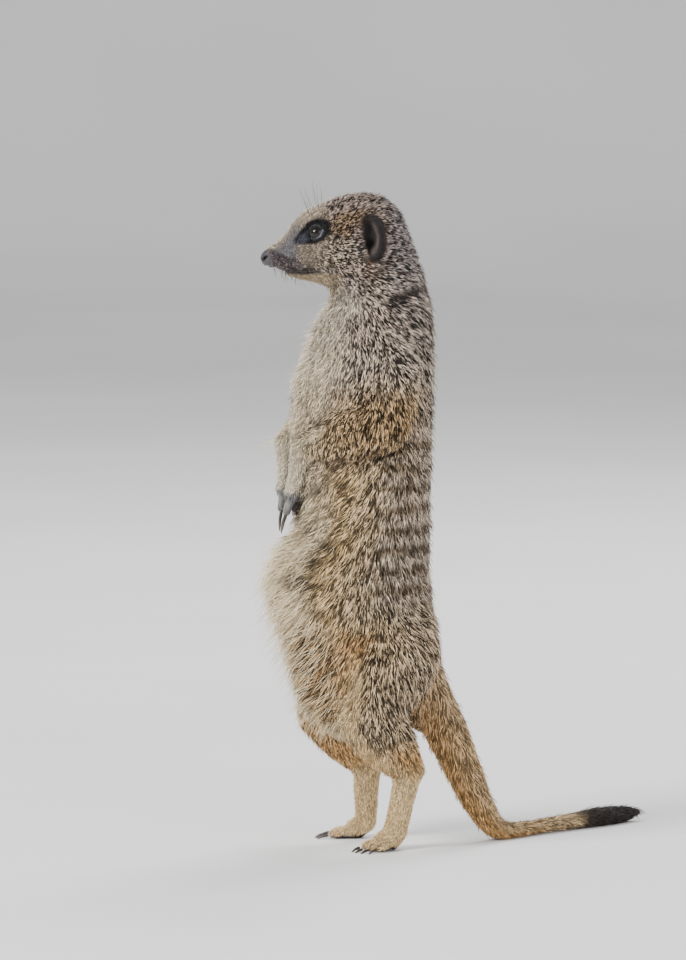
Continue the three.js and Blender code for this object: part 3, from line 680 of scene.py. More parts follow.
# The colour of each vertex and how grizzled it is, laid on a part at a time
class Markings:
    def __init__(self, points):
        self.points = points
        self.colour = np.zeros((len(points), 3))
        self.grizzle = np.full(len(points), 0.8)
        self.parted = np.zeros(len(points))
        self.place = (points - noseTip) / mm
        self.lips = mouthHeight(self.place)
        self.wander = mottle(points, 9, 1)
        self.fine = mottle(points, 4, 2)
        self.towards = facing + 0.12 * self.wander
        self.outward = unit(body.relax(normals, 20))
        self.spine = -dot(self.outward, bodyFront)
        self.tall = (points[:, 2] - low[2]) / (high[2] - low[2])
        self.overElbow = (points[:, 2] - elbowZ) / mm
        self.head = share("face", "head", "ear")
        for part in (self.trunk, self.belly, self.arms, self.legs, self.hands, self.creases, self.tail,
                     self.neck, self.face, self.mouth, self.eyes, self.ears, self.nose):
            part(self.lay)

    def lay(self, name, mask, grizzle=None):
        mask = np.clip(mask, 0, 1)
        self.colour += (linear(palette[name]) - self.colour) * mask[:, None]
        if grizzle is not None:
            self.grizzle += (grizzle - self.grizzle) * mask

    # Grizzled back with dark bars, and a tan flank
    def trunk(self, lay):
        points = self.points
        towards, tall = self.towards, self.tall
        trunk = share("chest", "belly", "neck", "thigh")
        lay("back", np.ones(len(points)), 1.0)
        lay("flank", smooth(-0.5, 0.2, towards) * trunk * smooth(0.75, 0.6, tall), 0.9)
        lay("shoulder", share("chest") * smooth(0.66, 0.72, tall) * smooth(0.5, 0.2, towards) * 0.7, 1.0)
        height = self.overElbow - 9 + 1.6 * self.wander
        bars = smooth(-0.15, 0.4, np.cos(2 * math.pi * height / 10.2) + 0.35 * self.fine)
        barred = smooth(-0.15, 0.2, self.spine) * smooth(0.34, 0.4, tall) * smooth(0.66, 0.62, tall)
        lay("silver", (1 - bars) * barred * trunk * 0.6, 0.65)
        lay("bar", bars * barred * trunk * 0.95, 0.25)

    # Pale breast, white belly, and painted shade in the gaps and partings of the long hair of the side
    def belly(self, lay):
        points = self.points
        towards, tall = self.towards, self.tall
        lower = smooth(3, -5, self.overElbow) * share("chest", "belly", "thigh")
        lay("bellySide", smooth(0.2, 0.45, towards) * lower * 0.85, 0.8)
        lay("bellyMixed", smooth(0.5, 0.72, towards) * lower * smooth(0.3, 0.36, tall), 0.8)
        lay("chestFront", smooth(0.45, 0.7, towards) * share("chest", "neck") * (1 - lower), 0.15)
        lay("bellyFront", smooth(0.78, 0.92, towards) * lower * smooth(0.22, 0.28, tall), 0.2)
        # dark streaks between the locks of the side hair are painted shade
        streaks = mottle(points * np.array([0.4, 0.4, 1.2]), 5.5, 3) + 0.4 * self.fine
        gaps = smooth(0.25, 0.6, streaks) * smooth(0.35, 0.55, towards) * smooth(0.97, 0.85, towards)
        lay("crease", gaps * lower * smooth(0.34, 0.4, tall) * 0.7, 0.6)
        for back, over, long, tip in partings:
            centre = middleOf("hand_left")[1:] + np.array([back, over]) * mm
            gap = patch(points, centre, (long, 2.9), tip, 0.5) * smooth(0, 0.25, self.outward[:, 0])
            self.parted = np.maximum(self.parted, gap * share("chest", "belly") * (0.9 + 0.3 * self.fine))
        # the partings are painted shade, in the dark colour of the back's bars
        lay("bar", self.parted, 0.25)

    def arms(self, lay):
        arms = share("upperArm", "forearm", "hand")
        lay("arm", arms * smooth(50, 30, self.overElbow), 1.0)
        inner = smooth(0.55, 0.85, self.towards) * smooth(60, 30, self.overElbow)
        lay("paleArm", share("forearm", "upperArm") * inner, 0.4)
        farArm = hasPrefix(labels, "forearm_right", "upper_arm_right") * smooth(45, 30, self.overElbow)
        lay("paleArm", farArm * smooth(-0.35, 0.1, self.outward[:, 0]) * 0.9, 0.25)

    def legs(self, lay):
        points = self.points
        towards, towardsLeft, tall = self.towards, self.outward[:, 0], self.tall
        level = unit(body.relax(normals, 60) * np.array([1, 1, 0]))
        around = dot(level, bodyFront) + 0.03 * self.wander
        lay("thigh", share("thigh", "shank") * smooth(0.66, 0.45, towards), 1.0)
        hips = share("thigh", "shank", "belly") * smooth(0.36, 0.31, tall) * smooth(0.095, 0.12, tall)
        near = body.relax(hasPrefix(labels, "thigh_left", "shank_left").astype(float)[:, None], 6)[:, 0]
        onNear, onFar = hips * near, hips * (1 - near)
        lay("thighEdge", hips * smooth(0.45, 0.6, around), 0.5)
        lay("bellyFront", onFar * smooth(0.5, 0.7, around) * smooth(-0.6, -0.3, towardsLeft), 0.2)
        lay("groove", onFar * smooth(0.2, 0.4, towardsLeft + 0.06 * self.fine) * 0.95, 0.95)
        lay("groove", onNear * smooth(0.1, -0.3, towardsLeft) * 0.8, 0.9)
        lay("shin", share("shank") * smooth(0.1, 0.6, towards) * smooth(0.18, 0.13, tall), 0.5)
        lay("shin", share("shank") * smooth(0.17, 0.11, tall), 0.4)
        heel = share("shank", "thigh", "foot") * smooth(0.18, 0.135, tall) * smooth(-0.35, 0.1, self.spine)
        lay("heelFur", heel * smooth(0.085, 0.11, tall) * 0.9, 0.8)
        farKnee = hasPrefix(labels, "shank_right", "thigh_right") * smooth(0.19, 0.14, tall)
        lay("knee", farKnee * smooth(0.09, 0.11, tall) * smooth(-0.3, 0.2, towards) * 0.7, 0.8)
        lay("footFur", share("foot"), 0.35)
        stained = smooth(0.1, 0.8, self.wander + 0.4 * self.fine) * smooth(0.2, 0.15, tall)
        lay("heelFur", share("foot", "shank") * stained * 0.18)
        sole = smooth(-0.55, -0.85, self.outward[:, 2]) * smooth(4, 2.5, points[:, 2] / mm)
        lay("sole", share("foot") * sole, 0)

    def hands(self, lay):
        points = self.points
        lay("handFur", share("hand"), 0.2)
        nearLow, nearHigh = boxOf("hand_left")
        edge = nearLow[1] + 4.6 * mm * (points[:, 2] - nearLow[2]) / (nearHigh[2] - nearLow[2])
        between = smooth(-3, -0.5, (points[:, 1] - edge) / mm) * smooth(0, 0.5, self.outward[:, 0])
        # painted shade on the far hand and forearm along the near hand's edge
        lay("crease", hasPrefix(labels, "hand_right", "forearm_right") * between * 0.45, 0.4)
        lay("finger", fingers(points) * (0.9 + 0.1 * self.fine), 0.3)

    # Painted shade in the arm folds, between the toes and behind the shoulder, and a golden tone along the
    # thigh folds
    def creases(self, lay):
        points = self.points
        lay("crease", armFold * 0.85 * smooth(48, 62, behindNose), 0.6)
        lay("crease", armFold * 0.5 * smooth(48, 40, behindNose), 0.6)
        lay("heelFur", thighFold * 0.4, 0.8)
        lay("crease", toeGaps(points) * 0.9, 0.2)
        shoulder = middleOf("upper_arm_left")[1:] + np.array([-3, -3]) * mm
        onArms = share("upperArm", "forearm", "hand")
        lay("crease", onArms * patch(points, shoulder, (4.5, 2.6), -35, 0.6) * 0.8, 0.8)

    # The last 30 percent of the tip is black
    def tail(self, lay):
        points = self.points
        under = smooth(0.1, -0.5, self.outward[:, 2])
        lay("tailBase", share("tailBase", "tailMiddle", "tailTip"), 0.7)
        lay("tailUnder", share("tailBase", "tailMiddle") * (0.25 + 0.6 * under), 0.6)
        blackFrom = boxOf("tail_tip")[1][0] - 0.3 * sizeOf("tail_tip")[0]
        beyond = (points[:, 0] - blackFrom) / mm + 3 * self.fine
        lay("tailTip", share("tailTip") * smooth(4, -6, beyond), 0.35)

    def neck(self, lay):
        towards = self.towards
        lay("nape", share("neck") * smooth(0.3, -0.3, towards), 1.0)
        lay("neckSide", share("neck") * smooth(0.75, 0.2, np.abs(towards)) * 0.8, 0.9)
        underHead = smooth(0.35, 0.75, towards) * smooth(20, 8, self.place[:, 2])
        lay("throat", share("neck", "head") * underHead, 0.2)

    def face(self, lay):
        points = self.points
        head, behind, above = self.head, self.place[:, 1], self.place[:, 2]
        turnedUp = self.outward[:, 2]
        lay("crown", head, 1.0)
        temple = (noseTip[1] + 48 * mm, eyeCentre["left"][2] + 1 * mm)
        lay("behindEye", head * patch(points, temple, (15, 10)), 1.0)
        lay("cheek", head * patch(points, (noseTip[1] + 36 * mm, mouthZ + 9 * mm), (20, 9), -8), 1.0)
        # a darker patch in front of the ear, in the nape's colour, is painted shade
        lay("nape", head * patch(points, byEar(-6.5, -1.5), (3.4, 8), 0, 0.5) * 0.6, 1.0)
        lay("nape", head * smooth(58, 70, behind), 1.0)
        lay("throat", head * smooth(-0.35, -0.8, turnedUp) * smooth(14, 22, behind), 0.2)
        front = head * smooth(38, 26, behind)
        lay("bridge", front * smooth(-8, 0, above) * smooth(0.0, 0.5, turnedUp), 0.35)
        lay("muzzle", front * smooth(25, 17, behind) * smooth(0.75, 0.3, turnedUp), 0.15)
        beforeEye = smooth(16, 22, behind) * smooth(9, 5, np.abs(above - 4))
        lay("cheek", front * beforeEye * smooth(0.5, 0.1, turnedUp), 0.5)

    def mouth(self, lay):
        head, lips, behind = self.head, self.lips, self.place[:, 1]
        pad = smooth(25, 15, behind) * smooth(10.0, 7.0, lips + self.fine)
        lay("whiskerPad", head * pad * 0.9, 0.8)
        lipPatch = smooth(11, 20, behind) * smooth(32, 26, behind) * smooth(4.6, 1.8, lips + 2.2 * self.fine)
        lay("lip", head * lipPatch * smooth(-0.9, -0.3, lips) * 0.85, 0.7)
        edge = smooth(1.0, 0.3, np.abs(lips)) * smooth(6, 10, behind) * smooth(33, 30, behind)
        lay("lip", head * edge * 0.7)
        lay("jaw", head * smooth(-0.3, -1.2, lips) * smooth(46, 36, behind), 0.3)

    # The dark patch round each eye with a painted bluish sheen in front of it, the rims of its lids and a
    # painted pale reflection on the lid edge behind them
    def eyes(self, lay):
        points = self.points
        for name in sides:
            eye = eyeCentre[name]
            back, over = (points[:, 1] - eye[1]) / mm, (points[:, 2] - eye[2]) / mm
            onSide = self.head * smooth(4.0, 7.0, self.place[:, 0] * sides[name])
            mask = patch(points, eye[1:] + np.array([-2.6, 0.1]) * mm, (10.6, 6.0), 28, 0.16, 0.5)
            lay("eyePatch", onSide * mask, 0.25)
            # a painted bluish sheen on the patch in front of the eye
            tear = patch(points, eye[1:] + np.array([-6.4, -2.3]) * mm, (4.2, 1.9), 34, 0.5)
            lay("tear", onSide * tear * (0.75 + 0.25 * self.fine))
            lid = lidPlace(points, name)[0]
            near = nearEye(points, name, 8)
            lay("lidRim", smooth(1.7, 1.2, lid) * near, 0)
            # a painted pale reflection on the lid edge behind the eye
            behindEye = smooth(-2.5, 1.5, back) * smooth(2.6, 1.2, over)
            lay("lidEdge", smooth(0.16, 0.03, np.abs(lid - 1.08)) * near * behindEye * 0.5, 0)

    # Dark ears with painted shade in the hollow and a paler rim, and painted shade in the creases behind and
    # under them
    def ears(self, lay):
        points = self.points
        onEar = smooth(0.4, 0.8, share("ear"))
        lay("ear", onEar, 0.4)
        for name in sides:
            gap = (points - earCentre[name]) / mm
            out, back, over = gap.T
            rim = smooth(0.26, 0.06, np.abs(np.hypot(back / 4.2, over / 9.6) - 0.66)) * smooth(-2, 0.5, back)
            lay("earRim", onEar * rim * (np.linalg.norm(gap, axis=1) < 16) * 0.8, 0.3)
            # the darker hollow is painted shade
            hollow = np.hypot((back + 0.9 + 0.16 * np.abs(over)) / 2.4, (over - 0.4) / 8.6)
            ridge = smooth(1.1, 0.6, np.hypot((back - 0.2) / 1.7, (over - 0.6) / 1.3))
            deep = smooth(1.1, 0.7, hollow) * (1 - 0.8 * ridge)
            lay("earHollow", onEar * deep * (np.abs(out) < 7), 0)
        lay("rust", self.head * patch(points, byEar(-1, -17), (3.6, 5), 0, 0.6) * 0.3)
        # painted shade in the neck creases below and behind the ear
        lay("crease", patch(points, byEar(16, -29), (9.5, 1.7), 20, 0.5) * 0.9, 0.3)
        behindEar = patch(points, byEar(3.2, -17), (7.5, 1.4), 58, 0.6)
        lay("crease", share("head", "neck") * behindEar * 0.7, 0.5)

    # Bare leather, with painted shade in the nostrils, the slit under it and the line between the lips
    def nose(self, lay):
        side, behind, above = np.abs(self.place[:, 0]), self.place[:, 1], self.place[:, 2]
        pad = smooth(6.5, 4.5, behind + 0.4 * above) * smooth(-5.5, -3.5, above)
        lay("nose", pad, 0)
        # the dark nostril openings are painted shade
        slope = unit(np.array(face["nostrilSlope"]))
        for sign in sides.values():
            gap = self.place - np.array(face["nostril"]) * [sign, 1, 1]
            along = gap @ slope
            off = gap - along[:, None] * slope
            off[:, 0] *= 0.3
            opening = np.hypot(along / 1.7, np.linalg.norm(off, axis=1) / 0.75)
            lay("nostril", smooth(1.5, 0.8, opening), 0)
        # the slit under the nose and the line between the lips are painted shade
        slit = smooth(0.7, 0.3, side) * smooth(5, 4, behind) * smooth(-0.8, -1.6, above)
        lay("nostril", slit * 0.7, 0)
        parted = smooth(0.5, 0.2, np.abs(self.lips)) * smooth(3, 5, behind) * smooth(33, 30, behind)
        lay("nostril", self.head * parted, 0)
        self.leather = np.clip(pad + self.head * parted, 0, 1)


marks = Markings(body.points)


def bareSkin():
    place = (body.points - noseTip) / mm
    lips = np.abs(mouthHeight(place) - 0.2)
    bare = smooth(0.2, 0.6, marks.leather)
    bare = np.maximum(bare, smooth(0.9, 0.4, lips) * smooth(33, 30, place[:, 1]) * (share("face") > 0.5))
    for name in sides:
        near = nearEye(body.points, name, 9)
        bare = np.maximum(bare, smooth(1.55, 1.35, lidPlace(body.points, name)[0]) * near)
        out, back, over = (body.points - earCentre[name]).T / mm
        inside = (out * sides[name] > -2.5) * smooth(1.0, 0.85, np.hypot((back + 0.8) / 5, over / 10.5))
        bare = np.maximum(bare, inside * 0.8 * (share("ear") > 0.3))
    bare = np.maximum(bare, fingers(body.points, 0.34, 0.22))
    bare = np.maximum(bare, 0.6 * marks.parted)
    bare = np.maximum(bare, toeGaps(body.points) * 0.8)
    flat = smooth(2.0, 1.0, body.points[:, 2] / mm) * (normals[:, 2] < -0.5)
    return np.clip(np.maximum(bare, flat), 0, 1)


bare = bareSkin()
print("markings laid")


# The coat: tapered tufts that lie over each other

tuftPoints, tuftTriangles = 7, 10

coat = {
    "mostTriangles": 196000,  # for each piece
    "buried": 0.45,  # mm of root under the skin
    "overFloor": 0.2,  # mm, the lowest that a tuft goes
    "bendSize": 3.6, "bend": 20,  # locks: their size in mm and how far they swing, in degrees
    "stray": 9,  # degrees, how far single tufts swing
    "flatness": 0.5,  # a tuft's thickness for its width
    "patchSize": 0.003,  # a tuft's place on the bake map
    "dark": 0.06, "pale": 3.4,  # how dark and how pale grizzled tufts are beside the marking
    "darkShare": 0.44, "clumped": 0.5, "clumpSize": 1.0,  # tufts of a shade stand in clumps this wide, in mm
    "stand": 0.08, "standRise": 1.6,  # the share of tufts that stand out, and how far
    # long thin wisps on breast and belly: their number for each mm2, then in mm how far they reach
    # out of the coat, how far past the CAD form's front, and their width
    "wisps": 0.2, "wispReach": 3, "bellyWispMore": 7, "handWispReach": 22, "wispPast": 7, "wispWidth": 0.26,
}

coatPieces = {
    "coat_face": ("face",), "coat_head": ("head",), "coat_ears": ("ear",), "coat_neck": ("neck",),
    "coat_chest": ("chest",), "coat_belly": ("belly",), "coat_arms": ("upperArm", "forearm", "hand"),
    "coat_thighs": ("thigh",), "coat_shins": ("shank", "foot"), "coat_tail_base": ("tailBase", "tailMiddle"),
    "coat_tail_tip": ("tailTip",),
}


# Where each root falls on an unwrap of the skin: round and along the node it grows on
def unwrapped(roots, rootLabels):
    places = np.zeros((len(roots), 2))
    found, counts = np.unique(rootLabels, return_counts=True)
    few = found[counts < 40]
    rootLabels = np.where(np.isin(rootLabels, few), found[np.argmax(counts)], rootLabels)
    found = np.unique(rootLabels)
    across = math.ceil(math.sqrt(len(found)))
    for index, label in enumerate(found):
        here = rootLabels == label
        points = roots[here]
        middle = points.mean(0)
        axis = np.linalg.eigh(np.cov((points - middle).T))[1][:, 2]
        first = unit(np.cross(axis, [0.3, 0.9, 0.1]))
        second = np.cross(axis, first)
        offset = points - middle
        chart = np.stack([np.arctan2(offset @ second, offset @ first), offset @ axis], axis=1)
        chart -= chart.min(0)
        chart /= np.maximum(chart.max(0), 1e-6)
        cell = np.array([index % across, index // across])
        places[here] = (cell + 0.04 + 0.92 * chart) / across
    return places


def scattered(density):
    area = np.linalg.norm(body.faceNormals(), axis=1) / 2 / mm ** 2
    expected = area * density[body.triangles].mean(1)
    total = np.cumsum(expected)
    count = int(total[-1])
    chosen = np.searchsorted(total, draw.random(count) * total[-1])
    a, b = draw.random((2, count))
    a, b = np.where(a + b > 1, 1 - a, a), np.where(a + b > 1, 1 - b, b)
    return body.triangles[chosen], np.stack([1 - a - b, a, b], axis=1)


# Wisps stand on the front of the belly, and on the far side of the hands, which they pass
def wispDensity():
    x, y, z = body.points.T / mm
    farHand = boxOf("hand_right")
    beside = smooth(2, -1, x - farHand[0][0] / mm) * smooth(-56, -62, y)
    beside *= smooth(22, 12, np.abs(z - handMiddle / mm))
    armsLow, armsHigh = boxOf("hand_left")[0][2] / mm, boxOf("forearm_left")[1][2] / mm
    behindArms = smooth(armsLow - 12, armsLow - 6, z) * smooth(armsHigh + 14, armsHigh + 8, z)
    plain = smooth(0.35, 0.75, frontness) * (1 - behindArms) * smooth(50, 64, z)
    plain *= share("belly") + share("thigh") * smooth(0.6, 0.85, frontness) + 0.7 * share("chest", "neck")
    return coat["wisps"] * np.maximum(beside, plain) * (1 - bare)


# Each tuft's triangle and its place in it, the wisps last
sown = [scattered(coatValue("density") * (1 - bare)), scattered(wispDensity())]
corners, weights = (np.concatenate(rows) for rows in zip(*sown))
isWisp = np.arange(len(corners)) >= len(sown[0][0])


def atRoots(values):
    picked = values[corners]
    return (picked * (weights if picked.ndim == 2 else weights[:, :, None])).sum(1)


def turned(vectors, axes, angles):
    return vectors * np.cos(angles)[:, None] + np.cross(axes, vectors) * np.sin(angles)[:, None]


# The vertex of the skin nearest to each place
def nearestVertices(*groups):
    tree = KDTree(len(body.points))
    for i, point in enumerate(body.points):
        tree.insert(point, i)
    tree.balance()
    return [np.array([tree.find(place)[1] for place in places]) for places in groups]


# Wisps go forwards and outwards, over and past the hands: their heading and length
def wispRun(roots, way, n):
    count = len(roots)
    over = (roots[:, 2] - handMiddle) / mm
    atHands = smooth(26, 16, np.abs(over)) * smooth(14, 11, roots[:, 0] / mm)
    ahead = way * (0.6 - 0.5 * atHands)[:, None] + n * (0.9 - 0.55 * atHands)[:, None]
    ahead += np.outer(atHands, [0, -0.9, 0]) + np.outer(atHands * over / 20 * 0.3, up)
    ahead = unit(ahead + draw.standard_normal((count, 3)) * 0.15)
    reach = coat["wispReach"] + atRoots(share("belly", "thigh")) * coat["bellyWispMore"]
    reach += (coat["handWispReach"] - reach) * atHands
    reach *= 1 - 0.5 * smooth(0.34, 0.28, roots[:, 2] / high[2])  # shorter on the legs
    length = (reach + 1.3 * atRoots(coatValue("depth"))) * mm * draw.uniform(0.6, 1.1, count)
    room = roots[:, 1] - low[1] + coat["wispPast"] * mm
    return ahead, np.minimum(length, room * draw.uniform(0.65, 1, count))[:, None]


# The corners of each tuft: a three-sided ring at its root and halfway, and its tip
def tuftCorners(base, middle, tip, n, width):
    rings = []
    for centre, heading, size in ((base, middle - base, 0.75), (middle, tip - base, 1.0)):
        ahead = unit(heading)
        across = unit(np.cross(n, ahead))
        above = np.cross(ahead, across)
        for angle in (math.pi / 2, math.pi * 7 / 6, math.pi * 11 / 6):
            offset = across * math.cos(angle) + above * (math.sin(angle) * coat["flatness"])
            rings.append(centre + offset * (width * size)[:, None])
    points = np.stack(rings + [tip], axis=1)
    points[:, :, 2] = np.maximum(points[:, :, 2], coat["overFloor"] * mm)
    return points


# The root of each tuft, its corners, and the vertices that its middle and tip lie over
def tufts():
    roots = atRoots(body.points)
    n = unit(atRoots(normals))
    way = unit(atRoots(lie))
    way = unit(way - n * dot(way, n)[:, None])
    count = len(roots)
    length = atRoots(coatValue("length"))
    front = atRoots(frontness)
    swing = coat["bend"] * np.minimum(length / 8, 1) ** 2 * mottle(roots, coat["bendSize"], 5)
    swing += coat["stray"] * draw.standard_normal(count)
    swing *= 1 + 0.7 * front
    way = turned(way, n, np.radians(swing))
    flat = 1 - 0.3 * atRoots(fold)
    length = length * flat * mm * draw.uniform(0.7, 1.2, count)
    rise = atRoots(coatValue("rise")) * flat * mm * (1 + 0.22 * mottle(roots, 4.5, 6))
    standing = draw.random(count) < coat["stand"] * (1 + 1.7 * front)
    outOfCoat = atRoots(coatValue("depth")) * front * mm
    rise = np.where(standing, np.maximum(rise * coat["standRise"], outOfCoat), rise)
    rise *= draw.uniform(0.6, 1.15, count)
    length *= np.where(standing, 1 - 0.35 * front, 1)
    # the tip follows the skin it lies over
    reach = roots + way * length[:, None]
    under, halfway = nearestVertices(reach, (roots + reach) / 2)
    tipN = normals[under]
    tip = reach - tipN * dot(reach - body.points[under], tipN)[:, None]
    bend = roots + way * (length * 0.5)[:, None]
    middle = 0.25 * roots + 0.5 * bend + 0.25 * tip + unit(n + tipN) * (rise * 0.72)[:, None]
    tip = tip + tipN * rise[:, None]
    ahead, long = wispRun(roots, way, n)
    tip = np.where(isWisp[:, None], roots + ahead * long - up * (long * 0.12), tip)
    middle = np.where(isWisp[:, None], roots + (ahead * 0.5 + n * 0.04) * long, middle)
    width = np.where(isWisp, coat["wispWidth"], atRoots(coatValue("width")))
    width = width * mm * draw.uniform(0.75, 1.25, count) / 2
    base = roots - n * coat["buried"] * mm
    return roots, tuftCorners(base, middle, tip, n, width), halfway, under


# Root, middle and tip take the marking of the place they lie over
def tuftColours(roots, halfway, under):
    count = len(roots)
    tones = [atRoots(marks.colour), marks.colour[halfway], marks.colour[under]]
    tones = [np.where(isWisp[:, None], linear(palette["bellyFront"]), tone) for tone in tones]
    grizzle = marks.grizzle[under]
    kind = coat["clumped"] * mottle(roots, coat["clumpSize"], 8) + 0.08 * mottle(roots, 5, 9)
    kind += draw.random(count)
    kind = np.argsort(np.argsort(kind)) / count
    isDark = kind < coat["darkShare"]
    isBanded = (kind > coat["darkShare"]) & (kind < coat["darkShare"] + 0.16)
    spread = draw.uniform(0.85, 1.15, count)
    pale = (1 + (coat["pale"] - 1) * grizzle * smooth(0.5, 1.0, kind)) * spread
    dark = (1 + (coat["dark"] - 1) * grizzle) * spread
    shade = np.where(isDark, dark, pale)
    tipShade = np.where(isBanded, dark, shade * np.where(isDark, 0.85, 1.15))
    shade = np.where(isWisp, spread, shade)
    tipShade = np.where(isWisp, 0.9 * spread, tipShade)
    rootShade = np.minimum(shade, 1) * (0.66 - 0.32 * grizzle)
    rows = []
    for value, tone in zip((rootShade, shade, tipShade), tones):
        cream = tone.mean(1, keepdims=True) * np.array([1.2, 1.0, 0.76])
        faded = (0.25 * smooth(1.2, 2.2, value) * grizzle)[:, None]
        row = (tone + (cream - tone) * faded) * value[:, None]
        row *= np.minimum(1, 0.92 / np.maximum(row.max(1, keepdims=True), 1e-6))  # keeps its hue
        rows.append(np.maximum(row, 0.002))
    return rows


# A tuft's corners: 0 to 2 at the root, 3 to 5 halfway, 6 at the tip
faceOrder = np.array([0, 1, 4, 3, 1, 2, 5, 4, 2, 0, 3, 5, 3, 4, 6, 4, 5, 6, 5, 3, 6, 2, 1, 0])
faceSizes = np.array([4, 4, 4, 3, 3, 3, 3])


def coatMesh(name, points, colours, places):
    count = len(points)
    faces = (np.arange(count)[:, None] * tuftPoints + faceOrder).ravel()
    mesh = meshFrom(name, points.reshape(-1, 3), faces, np.tile(faceSizes, count))
    shades = np.ones((count, tuftPoints, 4), np.float32)
    shades[:, 0:3, :3] = colours[0][:, None]
    shades[:, 3:6, :3] = colours[1][:, None]
    shades[:, 6, :3] = colours[2]
    colourLayer(mesh, "coatColour", shades)
    patchCorners = np.array([(-1, -1), (0, -0.9), (1, -1), (-1, 0), (0, 0.1), (1, 0), (0, 1)])
    spots = places[:, None] + patchCorners * (coat["patchSize"] / 2)
    layer = mesh.uv_layers.new(name="OFBake")
    layer.data.foreach_set("uv", spots[:, faceOrder].astype(np.float32).ravel())
    shadeSmooth(mesh)
    return mesh


def grownCoat():
    roots, points, halfway, under = tufts()
    colours = tuftColours(roots, halfway, under)
    rootLabels = labels[corners[:, 0]]
    owner = np.argmax(atRoots(shares), axis=1)
    limit = coat["mostTriangles"] // tuftTriangles
    pieces = []
    for name, members in coatPieces.items():
        here = np.flatnonzero(np.isin(owner, [regionNames.index(member) for member in members]))
        here = here[np.argsort(roots[here, 0])]
        parts = np.array_split(here, math.ceil(len(here) / limit))
        for number, part in enumerate(parts):
            title = name if len(parts) == 1 else f"{name}_{number + 1}"
            places = unwrapped(roots[part], rootLabels[part])
            mesh = coatMesh(title, points[part], [row[part] for row in colours], places)
            pieces.append(placed(title, mesh))
            print(title, len(part) * tuftTriangles)
    return pieces


coatObjects = grownCoat()
print("coat grown:", len(corners), "tufts")


# Materials

# A socket that takes part in sums
class Wire:
    def __init__(self, nodes, socket):
        self.nodes, self.socket = nodes, socket

    def worked(self, operation, first, second):
        return self.nodes.node("ShaderNodeMath", {"operation": operation}, {0: first, 1: second})

    def __add__(self, other):
        return self.worked("ADD", self, other)

    def __sub__(self, other):
        return self.worked("SUBTRACT", self, other)

    def __rsub__(self, other):
        return self.worked("SUBTRACT", other, self)

    def __mul__(self, other):
        return self.worked("MULTIPLY", self, other)

    __radd__ = __add__
    __rmul__ = __mul__


class Nodes:
    def __init__(self, tree):
        self.tree = tree

    # One node: its settings first, then its sockets by name
    def node(self, kind, settings, sockets, output=0):
        node = self.tree.nodes.new(kind)
        for key, value in settings.items():
            setattr(node, key, value)
        for key, value in sockets.items():
            if isinstance(value, Wire):
                self.tree.links.new(value.socket, node.inputs[key])
            else:
                node.inputs[key].default_value = value
        return Wire(self, node.outputs[output]) if node.outputs else None


class Finish(Nodes):
    def __init__(self, name):
        self.material = bpy.data.materials.new(name)
        self.material.use_nodes = True
        super().__init__(self.material.node_tree)
        self.tree.nodes.clear()

    def attribute(self, name):
        return self.node("ShaderNodeAttribute", {"attribute_name": name}, {}, "Color")

    def channel(self, name, part):
        return self.node("ShaderNodeSeparateColor", {}, {"Color": self.attribute(name)}, part)

    def place(self):
        return self.node("ShaderNodeTexCoord", {}, {}, "Object")

    def noise(self, scale, detail=3.0, roughness=0.55, vector=None):
        return self.node("ShaderNodeTexNoise", {}, {"Vector": vector or self.place(), "Scale": scale,
                                                    "Detail": detail, "Roughness": roughness})

    def mixed(self, factor, first, second, blend="MIX"):
        return self.node("ShaderNodeMix", {"data_type": "RGBA", "blend_type": blend},
                         {0: factor, 6: first, 7: second}, 2)

    # A colour attribute, times a shade
    def shaded(self, name, shade):
        tone = self.node("ShaderNodeCombineColor", {}, {"Red": shade, "Green": shade, "Blue": shade})
        return self.mixed(1.0, self.attribute(name), tone, "MULTIPLY")

    def between(self, value, low, high, least=0.0, most=1.0):
        return self.node("ShaderNodeMapRange", {"interpolation_type": "SMOOTHSTEP"}, {
            "Value": value, "From Min": low, "From Max": high, "To Min": least, "To Max": most})

    def bumped(self, height, distance, strength=1.0):
        sockets = {"Height": height, "Distance": distance, "Strength": strength}
        return self.node("ShaderNodeBump", {}, sockets)

    def done(self, **sockets):
        named = {key.replace("_", " "): value for key, value in sockets.items()}
        shader = self.node("ShaderNodeBsdfPrincipled", {}, named)
        self.node("ShaderNodeOutputMaterial", {}, {"Surface": shader})
        return self.material


def grey(value):
    return (value, value, value, 1.0)


def coatMaterial():
    finish = Finish("grizzled coat")
    shade = finish.between(finish.noise(900.0, 2.0), 0.3, 0.7, 0.82, 1.18)
    strands = finish.noise(2600.0, 1.0)
    return finish.done(Base_Color=finish.shaded("coatColour", shade),
                       Roughness=finish.between(strands, 0.3, 0.7, 0.5, 0.72),
                       Normal=finish.bumped(strands, 0.0001, 0.5),
                       Specular_IOR_Level=0.2, Sheen_Weight=0.04, Sheen_Roughness=0.45)


# Short flat fur under the tufts; leather on nose, lips, lids and fingers
def skinMaterial():
    finish = Finish("skin under the coat")
    leather, wet = (finish.channel("skinBare", part) for part in ("Red", "Green"))
    fur = finish.noise(1500.0, 4.0, 0.7)
    pores = finish.node("ShaderNodeTexVoronoi", {"feature": "DISTANCE_TO_EDGE"},
                        {"Vector": finish.place(), "Scale": 2100.0}, "Distance")
    furShade = finish.between(fur, 0.3, 0.7, 0.45, 1.25)
    skinShade = finish.between(finish.noise(500.0), 0.3, 0.7, 0.85, 1.15)
    shade = furShade * (1 - leather) + skinShade * leather
    height = fur * (1 - leather) * 1.6 + finish.between(pores, 0.0, 0.25) * leather * 0.7
    return finish.done(Base_Color=finish.shaded("skinColour", shade),
                       Roughness=(1 - leather) * 0.8 + leather * (0.55 - 0.3 * wet),
                       Normal=finish.bumped(height, 0.00025, 0.9), Specular_IOR_Level=0.4)


